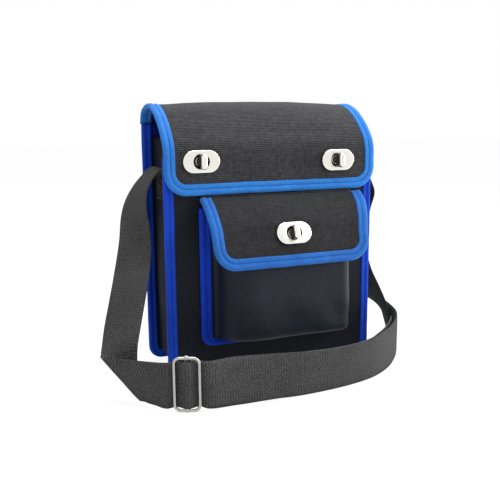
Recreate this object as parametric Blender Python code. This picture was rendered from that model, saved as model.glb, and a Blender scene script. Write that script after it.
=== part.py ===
# Canvas tool bag with a bound main flap, a bound front pocket with its own flap,
# three turn locks and a webbing shoulder strap that lies round the front.
# Units are metres. X is to the right, Y to the back, Z up. The floor is z = 0.
# The front panel's outer face is y = 0 and the bag's middle is x = 0.
import math

import bpy
import numpy as np

# Clearance between pieces that touch in the real bag.
gap = 0.0003

# Cloth, tape and webbing thicknesses.
cloth = 0.0012
flap_cloth = 0.0014
tape = 0.0010
webbing = 0.0015

# Main body.
panel_half = 0.1040
panel_floor = 0.0013
panel_corner = 0.0120
front_face = 0.0
back_face = 0.0750
front_top = 0.2050
back_top = 0.2330
seam_flange = 0.0095
wall_half = panel_half - seam_flange
wall_floor = 0.0108
wall_corner = 0.0030
gusset_side_top = 0.2210
gusset_back_top = 0.2224
gusset_rise_y = 0.0120
seam_tape = 0.0080
seam_tape_inner = 0.0080
back_tape_top = 0.2316

# Main flap, side profile of the cloth's middle from the sewn root to the hem.
main_profile = (
    (0.0768, 0.2342), (0.0755, 0.2385), (0.0716, 0.2455), (0.0632, 0.2495), (0.0500, 0.2511),
    (0.0385, 0.2490), (0.0280, 0.2449), (0.0183, 0.2384), (0.0098, 0.2312), (0.0036, 0.2243),
    (-0.0012, 0.2175), (-0.0035, 0.2100), (-0.0039, 0.1990), (-0.0040, 0.1900), (-0.0041, 0.1733),
)
flap_inset = 0.0001
main_half = panel_half - flap_inset
main_corner = 0.0190
main_tape_start = 0.0006
flap_tape = 0.0090
main_pivot_y = 0.0785
main_pivot_z = 0.2350

# Pocket on the front panel.
pocket_base_centre = 0.0033
pocket_back_half = 0.0759
pocket_tape = 0.0097
pocket_back_floor = 0.0322
pocket_back_top = 0.1600
pocket_back_low = -0.0016
pocket_back_corner = 0.0098
body_lap = 0.0006
pocket_left = pocket_base_centre - pocket_back_half + pocket_tape - body_lap
pocket_right = pocket_base_centre + pocket_back_half - pocket_tape + body_lap
pocket_root = pocket_back_low - cloth - tape - 2 * gap
pocket_lean = 0.0050
pocket_corner = 0.0110
pocket_profile = (
    (-0.0256, 0.1490), (-0.0262, 0.1475), (-0.0298, 0.1370), (-0.0332, 0.1275), (-0.0354, 0.1180),
    (-0.0364, 0.1080), (-0.0371, 0.0950), (-0.0377, 0.0750), (-0.0378, 0.0600), (-0.0376, 0.0490),
    (-0.0371, 0.0452), (-0.0353, 0.0419), (-0.0310, 0.0405), (-0.0200, 0.0400), (-0.0120, 0.0396),
    (pocket_root, 0.0392),
)
seam_strip_floor = 0.1640
seam_strip_top = 0.1710
seam_strip_depth = 0.0038

# Pocket flap.
pocket_flap_profile = (
    (-0.0059, 0.1687), (-0.0132, 0.1642), (-0.0206, 0.1580), (-0.0260, 0.1516), (-0.0299, 0.1460),
    (-0.0332, 0.1370), (-0.0366, 0.1275), (-0.0387, 0.1185), (-0.0404, 0.1100),
)
pocket_centre = 0.0045
pocket_flap_half = 0.0752
pocket_flap_corner = 0.0190
pocket_flap_tape_start = 0.0006
pocket_pivot_y = -0.0097
pocket_pivot_z = 0.1660

# Turn locks.
lock_left_inset = 0.0324
lock_right_inset = 0.0394
lock_left_z = 0.2017
lock_right_z = 0.1996
lock_face = -0.0049
pocket_lock_y = -0.0332
pocket_lock_z = 0.1370
pocket_lock_tilt = math.radians(19.5)
plate_long = 0.0340
plate_high = 0.0200
plate_deep = 0.0026
plate_edge = 0.0007
slot_long = 0.0150
slot_high = 0.0124
cloth_slot_long = 0.0170
cloth_slot_high = 0.0140
washer_long = 0.0300
washer_high = 0.0170
washer_deep = 0.0005
base_long = 0.0280
base_high = 0.0150
base_deep = 0.0010
post_round = 0.0070
disc_round = 0.0080
disc_deep = 0.0010
bar_long = 0.0134
bar_wide = 0.0052
main_bar_deep = 0.0050
pocket_bar_deep = 0.0031
bar_edge = 0.0007
pocket_plate_lift = 0.0012
cutter_reach = 0.0030

# Shoulder strap. Each station is the far or upper edge and the near or lower edge.
strap_wide = 0.0400
strap_left = (
    ((-0.09555, 0.0570, 0.1650), (-0.09555, 0.0170, 0.1650)),
    ((-0.09555, 0.0570, 0.1780), (-0.09555, 0.0170, 0.1780)),
    ((-0.09555, 0.0570, 0.1885), (-0.09555, 0.0170, 0.1885)),
    ((-0.0964, 0.0570, 0.1925), (-0.0964, 0.0170, 0.1925)),
    ((-0.0990, 0.0570, 0.1948), (-0.0990, 0.0170, 0.1948)),
    ((-0.1036, 0.0570, 0.1932), (-0.1036, 0.0170, 0.1932)),
    ((-0.1105, 0.0570, 0.1865), (-0.1095, 0.0170, 0.1865)),
    ((-0.1192, 0.0570, 0.1765), (-0.1150, 0.0170, 0.1755)),
    ((-0.1275, 0.0570, 0.1620), (-0.1165, 0.0170, 0.1605)),
    ((-0.1318, 0.0560, 0.1470), (-0.1145, 0.0172, 0.1470)),
    ((-0.1352, 0.0500, 0.1285), (-0.1136, 0.0158, 0.1290)),
    ((-0.1415, 0.0380, 0.1100), (-0.1169, 0.0080, 0.1125)),
    ((-0.1482, 0.0260, 0.0920), (-0.1222, -0.0020, 0.0960)),
    ((-0.1547, 0.0165, 0.0735), (-0.1278, -0.0095, 0.0785)),
    ((-0.1605, 0.0065, 0.0590), (-0.1335, -0.0165, 0.0610)),
    ((-0.1645, -0.0035, 0.0490), (-0.1385, -0.0240, 0.0450)),
    ((-0.1668, -0.0105, 0.0450), (-0.1400, -0.0282, 0.0270)),
    ((-0.1682, -0.0148, 0.0430), (-0.1396, -0.0300, 0.0130)),
)
fold_radius = 0.00175
fold_angles = (0.0, 45.0, 90.0, 135.0, 180.0)
left_fold_upper = (-0.1693, -0.0195, 0.0418)
left_fold_lower = (-0.1398, -0.0338, 0.0026)
right_fold_upper = (0.1535, 0.0523, 0.0418)
right_fold_lower = (0.1455, 0.0143, 0.0026)
fold_settle = (
    ((-0.1655, -0.0236, 0.0412), (-0.1376, -0.0385, 0.0026)),
    ((-0.1545, -0.0328, 0.0408), (-0.1345, -0.0440, 0.0025)),
    ((-0.1420, -0.0434, 0.0411), (-0.1300, -0.0506, 0.0024)),
)
run_right_start = (
    ((0.1400, 0.0000, 0.0402), (0.1384, -0.0027, 0.0002)),
    ((0.1470, 0.0160, 0.0404), (0.1432, 0.0057, 0.0005)),
    ((0.1518, 0.0345, 0.0410), (0.1460, 0.0112, 0.0014)),
)
strap_right = (
    ((0.1512, 0.0532, 0.0424), (0.1433, 0.0152, 0.0120)),
    ((0.1500, 0.0535, 0.0438), (0.1425, 0.0153, 0.0250)),
    ((0.1470, 0.0540, 0.0490), (0.1395, 0.0160, 0.0420)),
    ((0.1385, 0.0560, 0.0630), (0.1310, 0.0170, 0.0610)),
    ((0.1270, 0.0570, 0.0830), (0.1200, 0.0170, 0.0830)),
    ((0.1200, 0.0570, 0.1050), (0.1140, 0.0170, 0.1050)),
    ((0.1210, 0.0570, 0.1280), (0.1150, 0.0170, 0.1280)),
    ((0.1255, 0.0570, 0.1480), (0.1200, 0.0170, 0.1480)),
    ((0.1260, 0.0570, 0.1650), (0.1205, 0.0170, 0.1640)),
    ((0.1200, 0.0570, 0.1790), (0.1155, 0.0170, 0.1775)),
    ((0.1115, 0.0570, 0.1895), (0.1100, 0.0170, 0.1895)),
    ((0.1052, 0.0570, 0.1962), (0.1048, 0.0170, 0.1962)),
    ((0.1000, 0.0570, 0.1980), (0.1000, 0.0170, 0.1980)),
    ((0.0968, 0.0570, 0.1950), (0.0968, 0.0170, 0.1950)),
    ((0.09555, 0.0570, 0.1885), (0.09555, 0.0170, 0.1885)),
    ((0.09555, 0.0570, 0.1780), (0.09555, 0.0170, 0.1780)),
    ((0.09555, 0.0570, 0.1650), (0.09555, 0.0170, 0.1650)),
)
# Front run of the strap: its upper edge, then its lower edge.
run_after = (
    ((-0.0705, -0.0695, 0.0427), (-0.0705, -0.0735, 0.0028)),
    ((-0.0420, -0.0712, 0.0418), (-0.0420, -0.0743, 0.0019)),
    ((-0.0090, -0.0752, 0.0407), (-0.0090, -0.0748, 0.0007)),
    ((0.0210, -0.0778, 0.0399), (0.0220, -0.0722, 0.0002)),
    ((0.0470, -0.0752, 0.0397), (0.0480, -0.0684, 0.0002)),
    ((0.0690, -0.0672, 0.0399), (0.0710, -0.0620, 0.0002)),
    ((0.0860, -0.0560, 0.0401), (0.0880, -0.0535, 0.0002)),
    ((0.1030, -0.0427, 0.0401), (0.1045, -0.0418, 0.0002)),
    ((0.1210, -0.0252, 0.0401), (0.1215, -0.0250, 0.0002)),
    ((0.1315, -0.0130, 0.0401), (0.1312, -0.0136, 0.0002)),
)
# Slider on the strap. The weave is along the strap, outward, and the lift.
slider_x = -0.1080
slider_y = -0.0674
slider_turn = math.radians(-23.0)
slider_wide = 0.0235
slider_spare = 0.0080
slider_high = strap_wide + slider_spare
slider_wire = 0.0030
slider_bend = 0.0050
slider_bar = 0.0026
slider_out = 0.0010
weave = (
    (-0.0170, -0.0010, 0.0022), (-0.0098, -0.0024, 0.0032), (-0.0044, 0.0011, 0.0038),
    (-0.0022, 0.0034, 0.0039), (0.0, 0.0038, 0.0039), (0.0022, 0.0034, 0.0039),
    (0.0044, 0.0011, 0.0038), (0.0098, -0.0024, 0.0037), (0.0170, -0.0010, 0.0034),
)
return_weave = (
    (0.0034, -0.0019, 0.0036), (0.0054, -0.0029, 0.0036), (0.0074, -0.0040, 0.0034),
    (0.0100, -0.0047, 0.0030), (0.0170, -0.0035, 0.0012),
)
return_inset = 0.0026
return_floor = 0.0002
return_top = 0.0396

# Mesh fineness.
profile_steps = 4
strap_steps = 3
corner_steps = 6
side_steps = 36
oval_count = 36
wire_count = 10


def clear_scene():
    for item in list(bpy.data.objects):
        bpy.data.objects.remove(item, do_unlink=True)


clear_scene()
bag = bpy.data.collections.new("canvas_tool_bag")
bpy.context.scene.collection.children.link(bag)
cutters = bpy.data.collections.new("cutters")
bpy.context.scene.collection.children.link(cutters)

looks = {
    "charcoal": ((0.045, 0.045, 0.048, 1.0), 0.90, 0.0),
    "blue_black": ((0.012, 0.015, 0.020, 1.0), 0.62, 0.0),
    "blue_tape": ((0.030, 0.170, 0.640, 1.0), 0.80, 0.0),
    "grey_webbing": ((0.060, 0.060, 0.062, 1.0), 0.85, 0.0),
    "nickel": ((0.720, 0.700, 0.660, 1.0), 0.28, 1.0),
}


def make_material(name, look):
    colour, rough, metal = looks[look]
    material = bpy.data.materials.new(name)
    material.use_nodes = True
    shader = material.node_tree.nodes["Principled BSDF"]
    shader.inputs["Base Color"].default_value = colour
    shader.inputs["Roughness"].default_value = rough
    shader.inputs["Metallic"].default_value = metal
    material.diffuse_color = colour
    return material


def add_mesh(name, points, faces, look, home=None):
    mesh = bpy.data.meshes.new(name)
    mesh.from_pydata([tuple(float(c) for c in p) for p in points], [], faces)
    mesh.validate()
    item = bpy.data.objects.new(name, mesh)
    if home is None:
        bag.objects.link(item)
        mesh.materials.append(make_material(name, look))
    else:
        home.objects.link(item)
        item.hide_render = True
        item.display_type = "WIRE"
    return item


def smooth_line(points, steps):
    """A smooth line through the points that doesn't swing past them."""
    p = [np.array(q, float) for q in points]
    p = [2 * p[0] - p[1]] + p + [2 * p[-1] - p[-2]]
    line = []
    for k in range(1, len(p) - 2):
        a, b, c, d = p[k - 1], p[k], p[k + 1], p[k + 2]
        knots = [0.0]
        for first, second in ((a, b), (b, c), (c, d)):
            knots.append(knots[-1] + math.sqrt(float(np.linalg.norm(second - first))))
        for share in np.linspace(0.0, 1.0, steps, endpoint=False):
            t = knots[1] + share * (knots[2] - knots[1])
            ab = ((knots[1] - t) * a + t * b) / knots[1]
            bc = ((knots[2] - t) * b + (t - knots[1]) * c) / (knots[2] - knots[1])
            cd = ((knots[3] - t) * c + (t - knots[2]) * d) / (knots[3] - knots[2])
            abc = ((knots[2] - t) * ab + t * bc) / knots[2]
            bcd = ((knots[3] - t) * bc + (t - knots[1]) * cd) / (knots[3] - knots[1])
            line.append(((knots[2] - t) * abc + (t - knots[1]) * bcd) / (knots[2] - knots[1]))
    line.append(p[-2])
    return np.array(line)


class Bent:
    """Cloth bent in one direction: u is across, v is down the profile, w is outward."""

    def __init__(self, profile):
        self.line = smooth_line(profile, profile_steps)
        steps = np.linalg.norm(np.diff(self.line, axis=0), axis=1)
        self.run = np.concatenate([[0.0], np.cumsum(steps)])
        self.length = float(self.run[-1])
        slope = np.gradient(self.line, self.run, axis=0)
        slope /= np.linalg.norm(slope, axis=1)[:, None]
        self.normal = np.column_stack([slope[:, 1], -slope[:, 0]])
        self.slope = slope

    def __call__(self, u, v, w):
        inside = min(max(v, 0.0), self.length)
        y = np.interp(inside, self.run, self.line[:, 0])
        z = np.interp(inside, self.run, self.line[:, 1])
        ny = np.interp(inside, self.run, self.normal[:, 0])
        nz = np.interp(inside, self.run, self.normal[:, 1])
        size = math.hypot(ny, nz)
        past = v - inside
        y += past * self.slope[-1, 0]
        z += past * self.slope[-1, 1]
        return (u, y + w * ny / size, z + w * nz / size)


def upright(u, v, w):
    """A flat piece that stands up: u is x, v is z and w is y."""
    return (u, w, v)


def edge_path(left, right, top, bottom, radius, steps):
    """Down the left side, round the bottom and up the right side, with outward directions."""
    sense = 1.0 if bottom > top else -1.0
    turn = bottom - sense * radius
    path = []
    for share in np.linspace(0.0, 1.0, steps, endpoint=False):
        path.append((left, top + share * (turn - top), -1.0, 0.0))
    for angle in np.linspace(0.0, math.pi / 2, corner_steps + 1):
        across, down = -math.cos(angle), sense * math.sin(angle)
        path.append((left + radius + radius * across, turn + radius * down, across, down))
    for angle in np.linspace(math.pi / 2, 0.0, corner_steps + 1):
        across, down = math.cos(angle), sense * math.sin(angle)
        path.append((right - radius + radius * across, turn + radius * down, across, down))
    for share in np.linspace(1.0, 0.0, steps, endpoint=False):
        if share < 1.0:
            path.append((right, top + share * (turn - top), 1.0, 0.0))
    path.append((right, top, 1.0, 0.0))
    return path


def sweep(name, place, path, outer, inner, look, ends=None):
    """A thick open section carried along a path. ends gives the height of both ends."""
    count = len(outer)
    points = []
    for k, (u, v, nu, nv) in enumerate(path):
        at_end = ends is not None and k in (0, len(path) - 1)
        for side in (outer, inner):
            for i, (n, w) in enumerate(side):
                height = ends[i] if at_end else v + n * nv
                points.append(place(u + n * nu, height, w))
    ring = list(range(count)) + list(range(2 * count - 1, count - 1, -1))
    faces = []
    size = 2 * count
    for k in range(len(path) - 1):
        for i in range(size):
            a, b = ring[i], ring[(i + 1) % size]
            faces.append((k * size + a, k * size + b, (k + 1) * size + b, (k + 1) * size + a))
    last = (len(path) - 1) * size
    for i in range(count - 1):
        faces.append((i, count + i, count + i + 1, i + 1))
        faces.append((last + i, last + i + 1, last + count + i + 1, last + count + i))
    return add_mesh(name, points, faces, look)


def sheet(name, place, rows, look, low, high):
    """A sheet of cloth. Each row is its place down the sheet and its left and right ends."""
    points = []
    for w in (low, high):
        for v, left, right in rows:
            points.append(place(left, v, w))
            points.append(place(right, v, w))
    n = len(rows)
    faces = []
    for k in range(n - 1):
        a, b = 2 * k, 2 * (k + 1)
        faces.append((a, a + 1, b + 1, b))
        faces.append((2 * n + a, 2 * n + b, 2 * n + b + 1, 2 * n + a + 1))
        faces.append((a, b, 2 * n + b, 2 * n + a))
        faces.append((a + 1, 2 * n + a + 1, 2 * n + b + 1, b + 1))
    faces.append((0, 2 * n, 2 * n + 1, 1))
    end = 2 * (n - 1)
    faces.append((end, end + 1, 2 * n + end + 1, 2 * n + end))
    return add_mesh(name, points, faces, look)


def cornered_rows(half, centre, top, bottom, radius, steps):
    """Rows of a piece with two rounded corners at its bottom."""
    sense = 1.0 if bottom > top else -1.0
    turn = bottom - sense * radius
    rows = []
    for share in np.linspace(0.0, 1.0, steps, endpoint=False):
        rows.append((top + share * (turn - top), centre - half, centre + half))
    for angle in np.linspace(0.0, math.pi / 2, corner_steps + 1):
        inset = radius - radius * math.cos(angle)
        rows.append((turn + sense * radius * math.sin(angle), centre - half + inset, centre + half - inset))
    return rows


def oval(width, height):
    """Points of a rounded slot shape, at even angles round its middle."""
    long_half, short_half = max(width, height) / 2, min(width, height) / 2
    centre = long_half - short_half
    points = []
    for k in range(oval_count):
        angle = 2 * math.pi * k / oval_count
        if width < height:
            along, across = math.sin(angle), math.cos(angle)
        else:
            along, across = math.cos(angle), math.sin(angle)
        reach = None
        if abs(across) > 0:
            flat = short_half / abs(across)
            if abs(flat * along) <= centre:
                reach = flat
        if reach is None:
            reach = centre * abs(along) + math.sqrt(short_half ** 2 - (centre * across) ** 2)
        points.append((reach * math.cos(angle), reach * math.sin(angle)))
    return points


class Lock:
    """A frame on the flap: a is to the right, b is up the flap and c is outward."""

    def __init__(self, x, y, z, tilt):
        self.origin = np.array((x, y, z))
        self.right = np.array((1.0, 0.0, 0.0))
        self.up = np.array((0.0, math.sin(tilt), math.cos(tilt)))
        self.out = np.array((0.0, -math.cos(tilt), math.sin(tilt)))

    def at(self, a, b, c):
        return self.origin + a * self.right + b * self.up + c * self.out


def stack(name, lock, loops, look, ring=False, home=None):
    """A piece built of oval outlines: width, height and how far out each one is."""
    points = []
    for width, height, level in loops:
        for a, b in oval(width, height):
            points.append(lock.at(a, b, level))
    faces = []
    count = len(loops)
    for k in range(count if ring else count - 1):
        for i in range(oval_count):
            j = (i + 1) % oval_count
            low, high = k * oval_count, ((k + 1) % count) * oval_count
            faces.append((low + i, low + j, high + j, high + i))
    if not ring:
        faces.append(tuple(reversed(range(oval_count))))
        faces.append(tuple((count - 1) * oval_count + i for i in range(oval_count)))
    return add_mesh(name, points, faces, look, home)


def tidy_mesh(item):
    """Turn all faces of a closed body outward."""
    import bmesh
    body = bmesh.new()
    body.from_mesh(item.data)
    bmesh.ops.recalc_face_normals(body, faces=body.faces)
    body.to_mesh(item.data)
    body.free()


def cut(item, cutter):
    tidy_mesh(cutter)
    change = item.modifiers.new("slot", "BOOLEAN")
    change.operation = "DIFFERENCE"
    change.solver = "EXACT"
    change.object = cutter


def ribbon(name, stations, look, steps):
    """Flat webbing through stations that give both of its edges."""
    line = smooth_line([tuple(a) + tuple(b) for a, b in stations], steps)
    first, second = line[:, :3], line[:, 3:]
    middle = (first + second) / 2
    travel = np.gradient(middle, axis=0)
    across = first - second
    normal = np.cross(travel, across)
    normal /= np.linalg.norm(normal, axis=1)[:, None]
    points = []
    for k in range(len(line)):
        lift = normal[k] * webbing / 2
        points += [first[k] + lift, second[k] + lift, second[k] - lift, first[k] - lift]
    faces = []
    for k in range(len(line) - 1):
        for i in range(4):
            j = (i + 1) % 4
            faces.append((4 * k + i, 4 * k + j, 4 * (k + 1) + j, 4 * (k + 1) + i))
    end = 4 * (len(line) - 1)
    faces.append((3, 2, 1, 0))
    faces.append((end, end + 1, end + 2, end + 3))
    return add_mesh(name, points, faces, look)


# The two panels are flat plates whose edges sit inside the tape.
panel_rows = cornered_rows(panel_half, 0.0, front_top, panel_floor, panel_corner, 2)
sheet("front_panel", upright, panel_rows, "blue_black", front_face, front_face + cloth)
back_rows = cornered_rows(panel_half, 0.0, back_top, panel_floor, panel_corner, 2)
sheet("back_panel", upright, back_rows, "blue_black", back_face - cloth, back_face)

# The gusset is one strip round the left, bottom and right with its edges turned outward.
front_seam = front_face + cloth + gap
back_seam = back_face - cloth - gap
turned = panel_half - wall_half
gusset_outer = (
    (turned, front_seam), (-cloth, front_seam), (-cloth, gusset_rise_y),
    (-cloth, back_seam), (turned, back_seam),
)
gusset_inner = (
    (turned, front_seam + cloth), (0.0, front_seam + cloth), (0.0, gusset_rise_y),
    (0.0, back_seam - cloth), (turned, back_seam - cloth),
)
gusset_tops = (front_top, front_top, gusset_side_top, gusset_back_top, gusset_back_top)
gusset_path = edge_path(-wall_half, wall_half, gusset_back_top, wall_floor, wall_corner, 2)
sweep("gusset", upright, gusset_path, gusset_outer, gusset_inner, "blue_black", gusset_tops)


def seam_binding(name, face, sign, top):
    """Tape folded over a panel's edge and the gusset's turned edge."""
    far = face + sign * (2 * cloth + gap)
    outer = (
        (-seam_tape, face - sign * (gap + tape)), (gap + tape, face - sign * (gap + tape)),
        (gap + tape, far + sign * (gap + tape)), (-seam_tape_inner, far + sign * (gap + tape)),
    )
    inner = (
        (-seam_tape, face - sign * gap), (gap, face - sign * gap),
        (gap, far + sign * gap), (-seam_tape_inner, far + sign * gap),
    )
    path = edge_path(-panel_half, panel_half, top, panel_floor, panel_corner, 2)
    sweep(name, upright, path, outer, inner, "blue_tape")


seam_binding("front_binding", front_face, 1.0, front_top)
seam_binding("back_binding", back_face, -1.0, back_tape_top)


def flap(name, profile, half, centre, radius, tape_start, locks):
    """A flap sheet with its lock slots, and the tape round its two sides and hem."""
    bent = Bent(profile)
    rows = cornered_rows(half, centre, 0.0, bent.length, radius, side_steps)
    item = sheet(name, bent, rows, "charcoal", -flap_cloth / 2, flap_cloth / 2)
    for k, lock in enumerate(locks):
        loops = (
            (cloth_slot_long, cloth_slot_high, -cutter_reach),
            (cloth_slot_long, cloth_slot_high, cutter_reach),
        )
        cut(item, stack(name + "_slot_" + str(k + 1), lock, loops, "", False, cutters))
    side = flap_cloth / 2 + gap
    outer = (
        (-flap_tape, side + tape), (gap + tape, side + tape),
        (gap + tape, -side - tape), (-flap_tape, -side - tape),
    )
    inner = ((-flap_tape, side), (gap, side), (gap, -side), (-flap_tape, -side))
    path = edge_path(centre - half, centre + half, tape_start, bent.length, radius, side_steps)
    return item, sweep(name + "_binding", bent, path, outer, inner, "blue_tape")


main_surface_y = lock_face + gap + flap_cloth / 2
main_locks = (
    Lock(lock_left_inset - main_half, main_surface_y, lock_left_z, 0.0),
    Lock(main_half - lock_right_inset, main_surface_y, lock_right_z, 0.0),
)
pocket_lock = Lock(pocket_centre, pocket_lock_y, pocket_lock_z, pocket_lock_tilt)
main_flap = flap("main_flap", main_profile, main_half, 0.0, main_corner, main_tape_start, main_locks)
pocket_flap = flap(
    "pocket_flap", pocket_flap_profile, pocket_flap_half, pocket_centre, pocket_flap_corner,
    pocket_flap_tape_start, (pocket_lock,),
)


def turn_lock(label, lock, plate_start, washer_start, base_start, bar_deep):
    """A plate and a washer on the flap, and a base and a toggle on the bag."""
    top = plate_start + plate_deep
    loops = (
        (plate_long, plate_high, plate_start),
        (plate_long, plate_high, top - plate_edge),
        (plate_long - 2 * plate_edge, plate_high - 2 * plate_edge, top),
        (slot_long + 2 * plate_edge, slot_high + 2 * plate_edge, top),
        (slot_long, slot_high, top - plate_edge),
        (slot_long, slot_high, plate_start),
    )
    plate = stack("lock_plate_" + label, lock, loops, "nickel", True)
    loops = (
        (washer_long, washer_high, washer_start - washer_deep),
        (washer_long, washer_high, washer_start),
        (cloth_slot_long, cloth_slot_high, washer_start),
        (cloth_slot_long, cloth_slot_high, washer_start - washer_deep),
    )
    washer = stack("lock_washer_" + label, lock, loops, "nickel", True)
    post_top = top - disc_deep
    loops = (
        (base_long, base_high, base_start),
        (base_long, base_high, base_start + base_deep),
        (post_round, post_round, base_start + base_deep),
        (post_round, post_round, post_top),
    )
    stack("lock_base_" + label, lock, loops, "nickel")
    disc = post_top + gap
    bar = top + gap
    loops = (
        (disc_round, disc_round, disc),
        (disc_round, disc_round, bar),
        (bar_wide, bar_long, bar),
        (bar_wide, bar_long, bar + bar_deep - bar_edge),
        (bar_wide - 2 * bar_edge, bar_long - 2 * bar_edge, bar + bar_deep),
    )
    toggle = stack("lock_toggle_" + label, lock, loops, "nickel")
    return plate, washer, toggle


main_plate_start = flap_cloth / 2 + gap
main_washer_start = -(flap_cloth / 2 + 2 * gap)
lock_left, lock_right = [
    turn_lock(label, lock, main_plate_start, main_washer_start, main_surface_y + gap, main_bar_deep)
    for label, lock in zip(("left", "right"), main_locks)
]
pocket_base_start = -(flap_cloth / 2 + pocket_plate_lift + base_deep)
lock_pocket = turn_lock(
    "pocket", pocket_lock, flap_cloth / 2 + gap, -(flap_cloth / 2 + gap), pocket_base_start, pocket_bar_deep,
)

# The pocket's flat back is bound all round except its top.
back_rows = cornered_rows(
    pocket_back_half, pocket_base_centre, pocket_back_top, pocket_back_floor, pocket_back_corner, 2,
)
sheet("pocket_back", upright, back_rows, "blue_black", pocket_back_low - cloth, pocket_back_low)
tape_near = pocket_back_low - cloth - gap
tape_far = pocket_back_low + gap
pocket_outer = (
    (-pocket_tape, tape_near - tape), (gap + tape, tape_near - tape), (gap + tape, tape_far + tape),
    (-pocket_tape, tape_far + tape),
)
pocket_inner = ((-pocket_tape, tape_near), (gap, tape_near), (gap, tape_far), (-pocket_tape, tape_far))
pocket_path = edge_path(
    pocket_base_centre - pocket_back_half, pocket_base_centre + pocket_back_half, pocket_back_top,
    pocket_back_floor, pocket_back_corner, 2,
)
sweep("pocket_binding", upright, pocket_path, pocket_outer, pocket_inner, "blue_tape")


def pocket_skin(profile, left, right, inset):
    """Rows of points round the pocket's left side, front and right side."""
    grid = []
    for y, z in profile:
        deep = max(pocket_root - y, 0.0)
        bend = min(pocket_corner - inset, 0.9 * deep)
        lean = pocket_lean * deep / (pocket_root - pocket_profile[7][0])
        wide = pocket_corner - inset
        row = [(left, pocket_root, z)]
        for angle in np.linspace(0.0, math.pi / 2, corner_steps + 1):
            across, ahead = math.cos(angle), math.sin(angle)
            row.append((left + lean + wide - wide * across, y + bend - bend * ahead, z))
        for angle in np.linspace(math.pi / 2, 0.0, corner_steps + 1):
            across, ahead = math.cos(angle), math.sin(angle)
            row.append((right - lean - wide + wide * across, y + bend - bend * ahead, z))
        row.append((right, pocket_root, z))
        grid.append(row)
    return grid


def offset_profile(line, distance):
    """The pocket's side profile moved inward by the cloth's thickness."""
    slope = np.gradient(line, axis=0)
    slope /= np.linalg.norm(slope, axis=1)[:, None]
    inward = np.column_stack([-slope[:, 1], slope[:, 0]])
    moved = line + inward * distance
    moved[0] = (moved[0][0], line[0][1])
    moved[-1] = (pocket_root, moved[-1][1])
    return moved


def pocket_body():
    line = smooth_line(pocket_profile, 2)
    outside = pocket_skin(line, pocket_left, pocket_right, 0.0)
    inside = pocket_skin(offset_profile(line, cloth), pocket_left + cloth, pocket_right - cloth, cloth)
    rows, columns = len(outside), len(outside[0])
    points = [p for row in outside for p in row] + [p for row in inside for p in row]
    total = rows * columns
    faces = []
    for r in range(rows - 1):
        for c in range(columns - 1):
            a, b = r * columns + c, (r + 1) * columns + c
            faces.append((a, a + 1, b + 1, b))
            faces.append((total + a, total + b, total + b + 1, total + a + 1))
    for c in range(columns - 1):
        faces.append((c, total + c, total + c + 1, c + 1))
        end = (rows - 1) * columns + c
        faces.append((end, end + 1, total + end + 1, total + end))
    for r in range(rows - 1):
        a, b = r * columns, (r + 1) * columns
        faces.append((a, b, total + b, total + a))
        a, b = a + columns - 1, b + columns - 1
        faces.append((a, total + a, total + b, b))
    add_mesh("pocket_body", points, faces, "blue_black")


pocket_body()

# A sewn strip that holds the pocket flap's upper edge.
strip_rows = (
    (seam_strip_top, pocket_centre - pocket_flap_half, pocket_centre + pocket_flap_half),
    (seam_strip_floor, pocket_centre - pocket_flap_half, pocket_centre + pocket_flap_half),
)
strip_back = front_face - gap
sheet("pocket_flap_seam", upright, strip_rows, "blue_black", strip_back - seam_strip_depth, strip_back)

# The slider's own directions, seen from above.
along = np.array((math.cos(slider_turn), math.sin(slider_turn), 0.0))
outward = np.array((math.sin(slider_turn), -math.cos(slider_turn), 0.0))
slider_middle = np.array((slider_x, slider_y, 0.0))
upward = np.array((0.0, 0.0, 1.0))


def by_slider(t, n, z):
    return slider_middle + t * along + n * outward + z * upward


def fold(upper, lower, back, angles):
    """Stations round a flat fold whose crease runs from upper to lower."""
    upper, lower, back = np.array(upper), np.array(lower), np.array(back)
    crease = lower - upper
    over = np.cross(crease, back)
    over /= np.linalg.norm(over)
    stations = []
    for angle in angles:
        turn = math.radians(angle)
        move = fold_radius * (math.cos(turn) * back + math.sin(turn) * over)
        stations.append((tuple(upper + move), tuple(lower + move)))
    return stations


def standing(x, y, lift):
    return ((x, y, strap_wide + lift), (x, y, lift))


def level_back(upper, lower):
    """The level direction that is square to the crease's plane."""
    flat = np.array((lower[0] - upper[0], lower[1] - upper[1], 0.0))
    flat /= np.linalg.norm(flat)
    return np.array((-flat[1], flat[0], 0.0))


left_back = level_back(left_fold_upper, left_fold_lower)
right_back = level_back(right_fold_upper, right_fold_lower)
stations = list(strap_left)
stations += fold(left_fold_upper, left_fold_lower, left_back, fold_angles)
stations += list(fold_settle)
for t, n, lift in weave:
    p = by_slider(t, n, 0.0)
    stations.append(standing(p[0], p[1], lift))
stations += list(run_after)
stations += list(run_right_start)
stations += fold(right_fold_upper, right_fold_lower, right_back, fold_angles)
stations += list(strap_right)
ribbon("shoulder_strap", stations, "grey_webbing", strap_steps)

# The second layer of webbing goes from the slider's middle bar behind the front run.
middle = np.array([(np.array(a) + np.array(b)) / 2 for a, b in run_after])
direction = np.gradient(middle[:, :2], axis=0)
direction /= np.linalg.norm(direction, axis=1)[:, None]
stations = []
for t, n, lift in return_weave:
    p = by_slider(t, n, 0.0)
    stations.append(standing(p[0], p[1], lift))
for (upper, lower), d in zip(run_after, direction):
    shift = np.array((-d[1], d[0])) * return_inset
    stations.append((
        (upper[0] + shift[0], upper[1] + shift[1], return_top),
        (lower[0] + shift[0], lower[1] + shift[1], return_floor),
    ))
ribbon("strap_return", stations, "grey_webbing", strap_steps)


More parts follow.
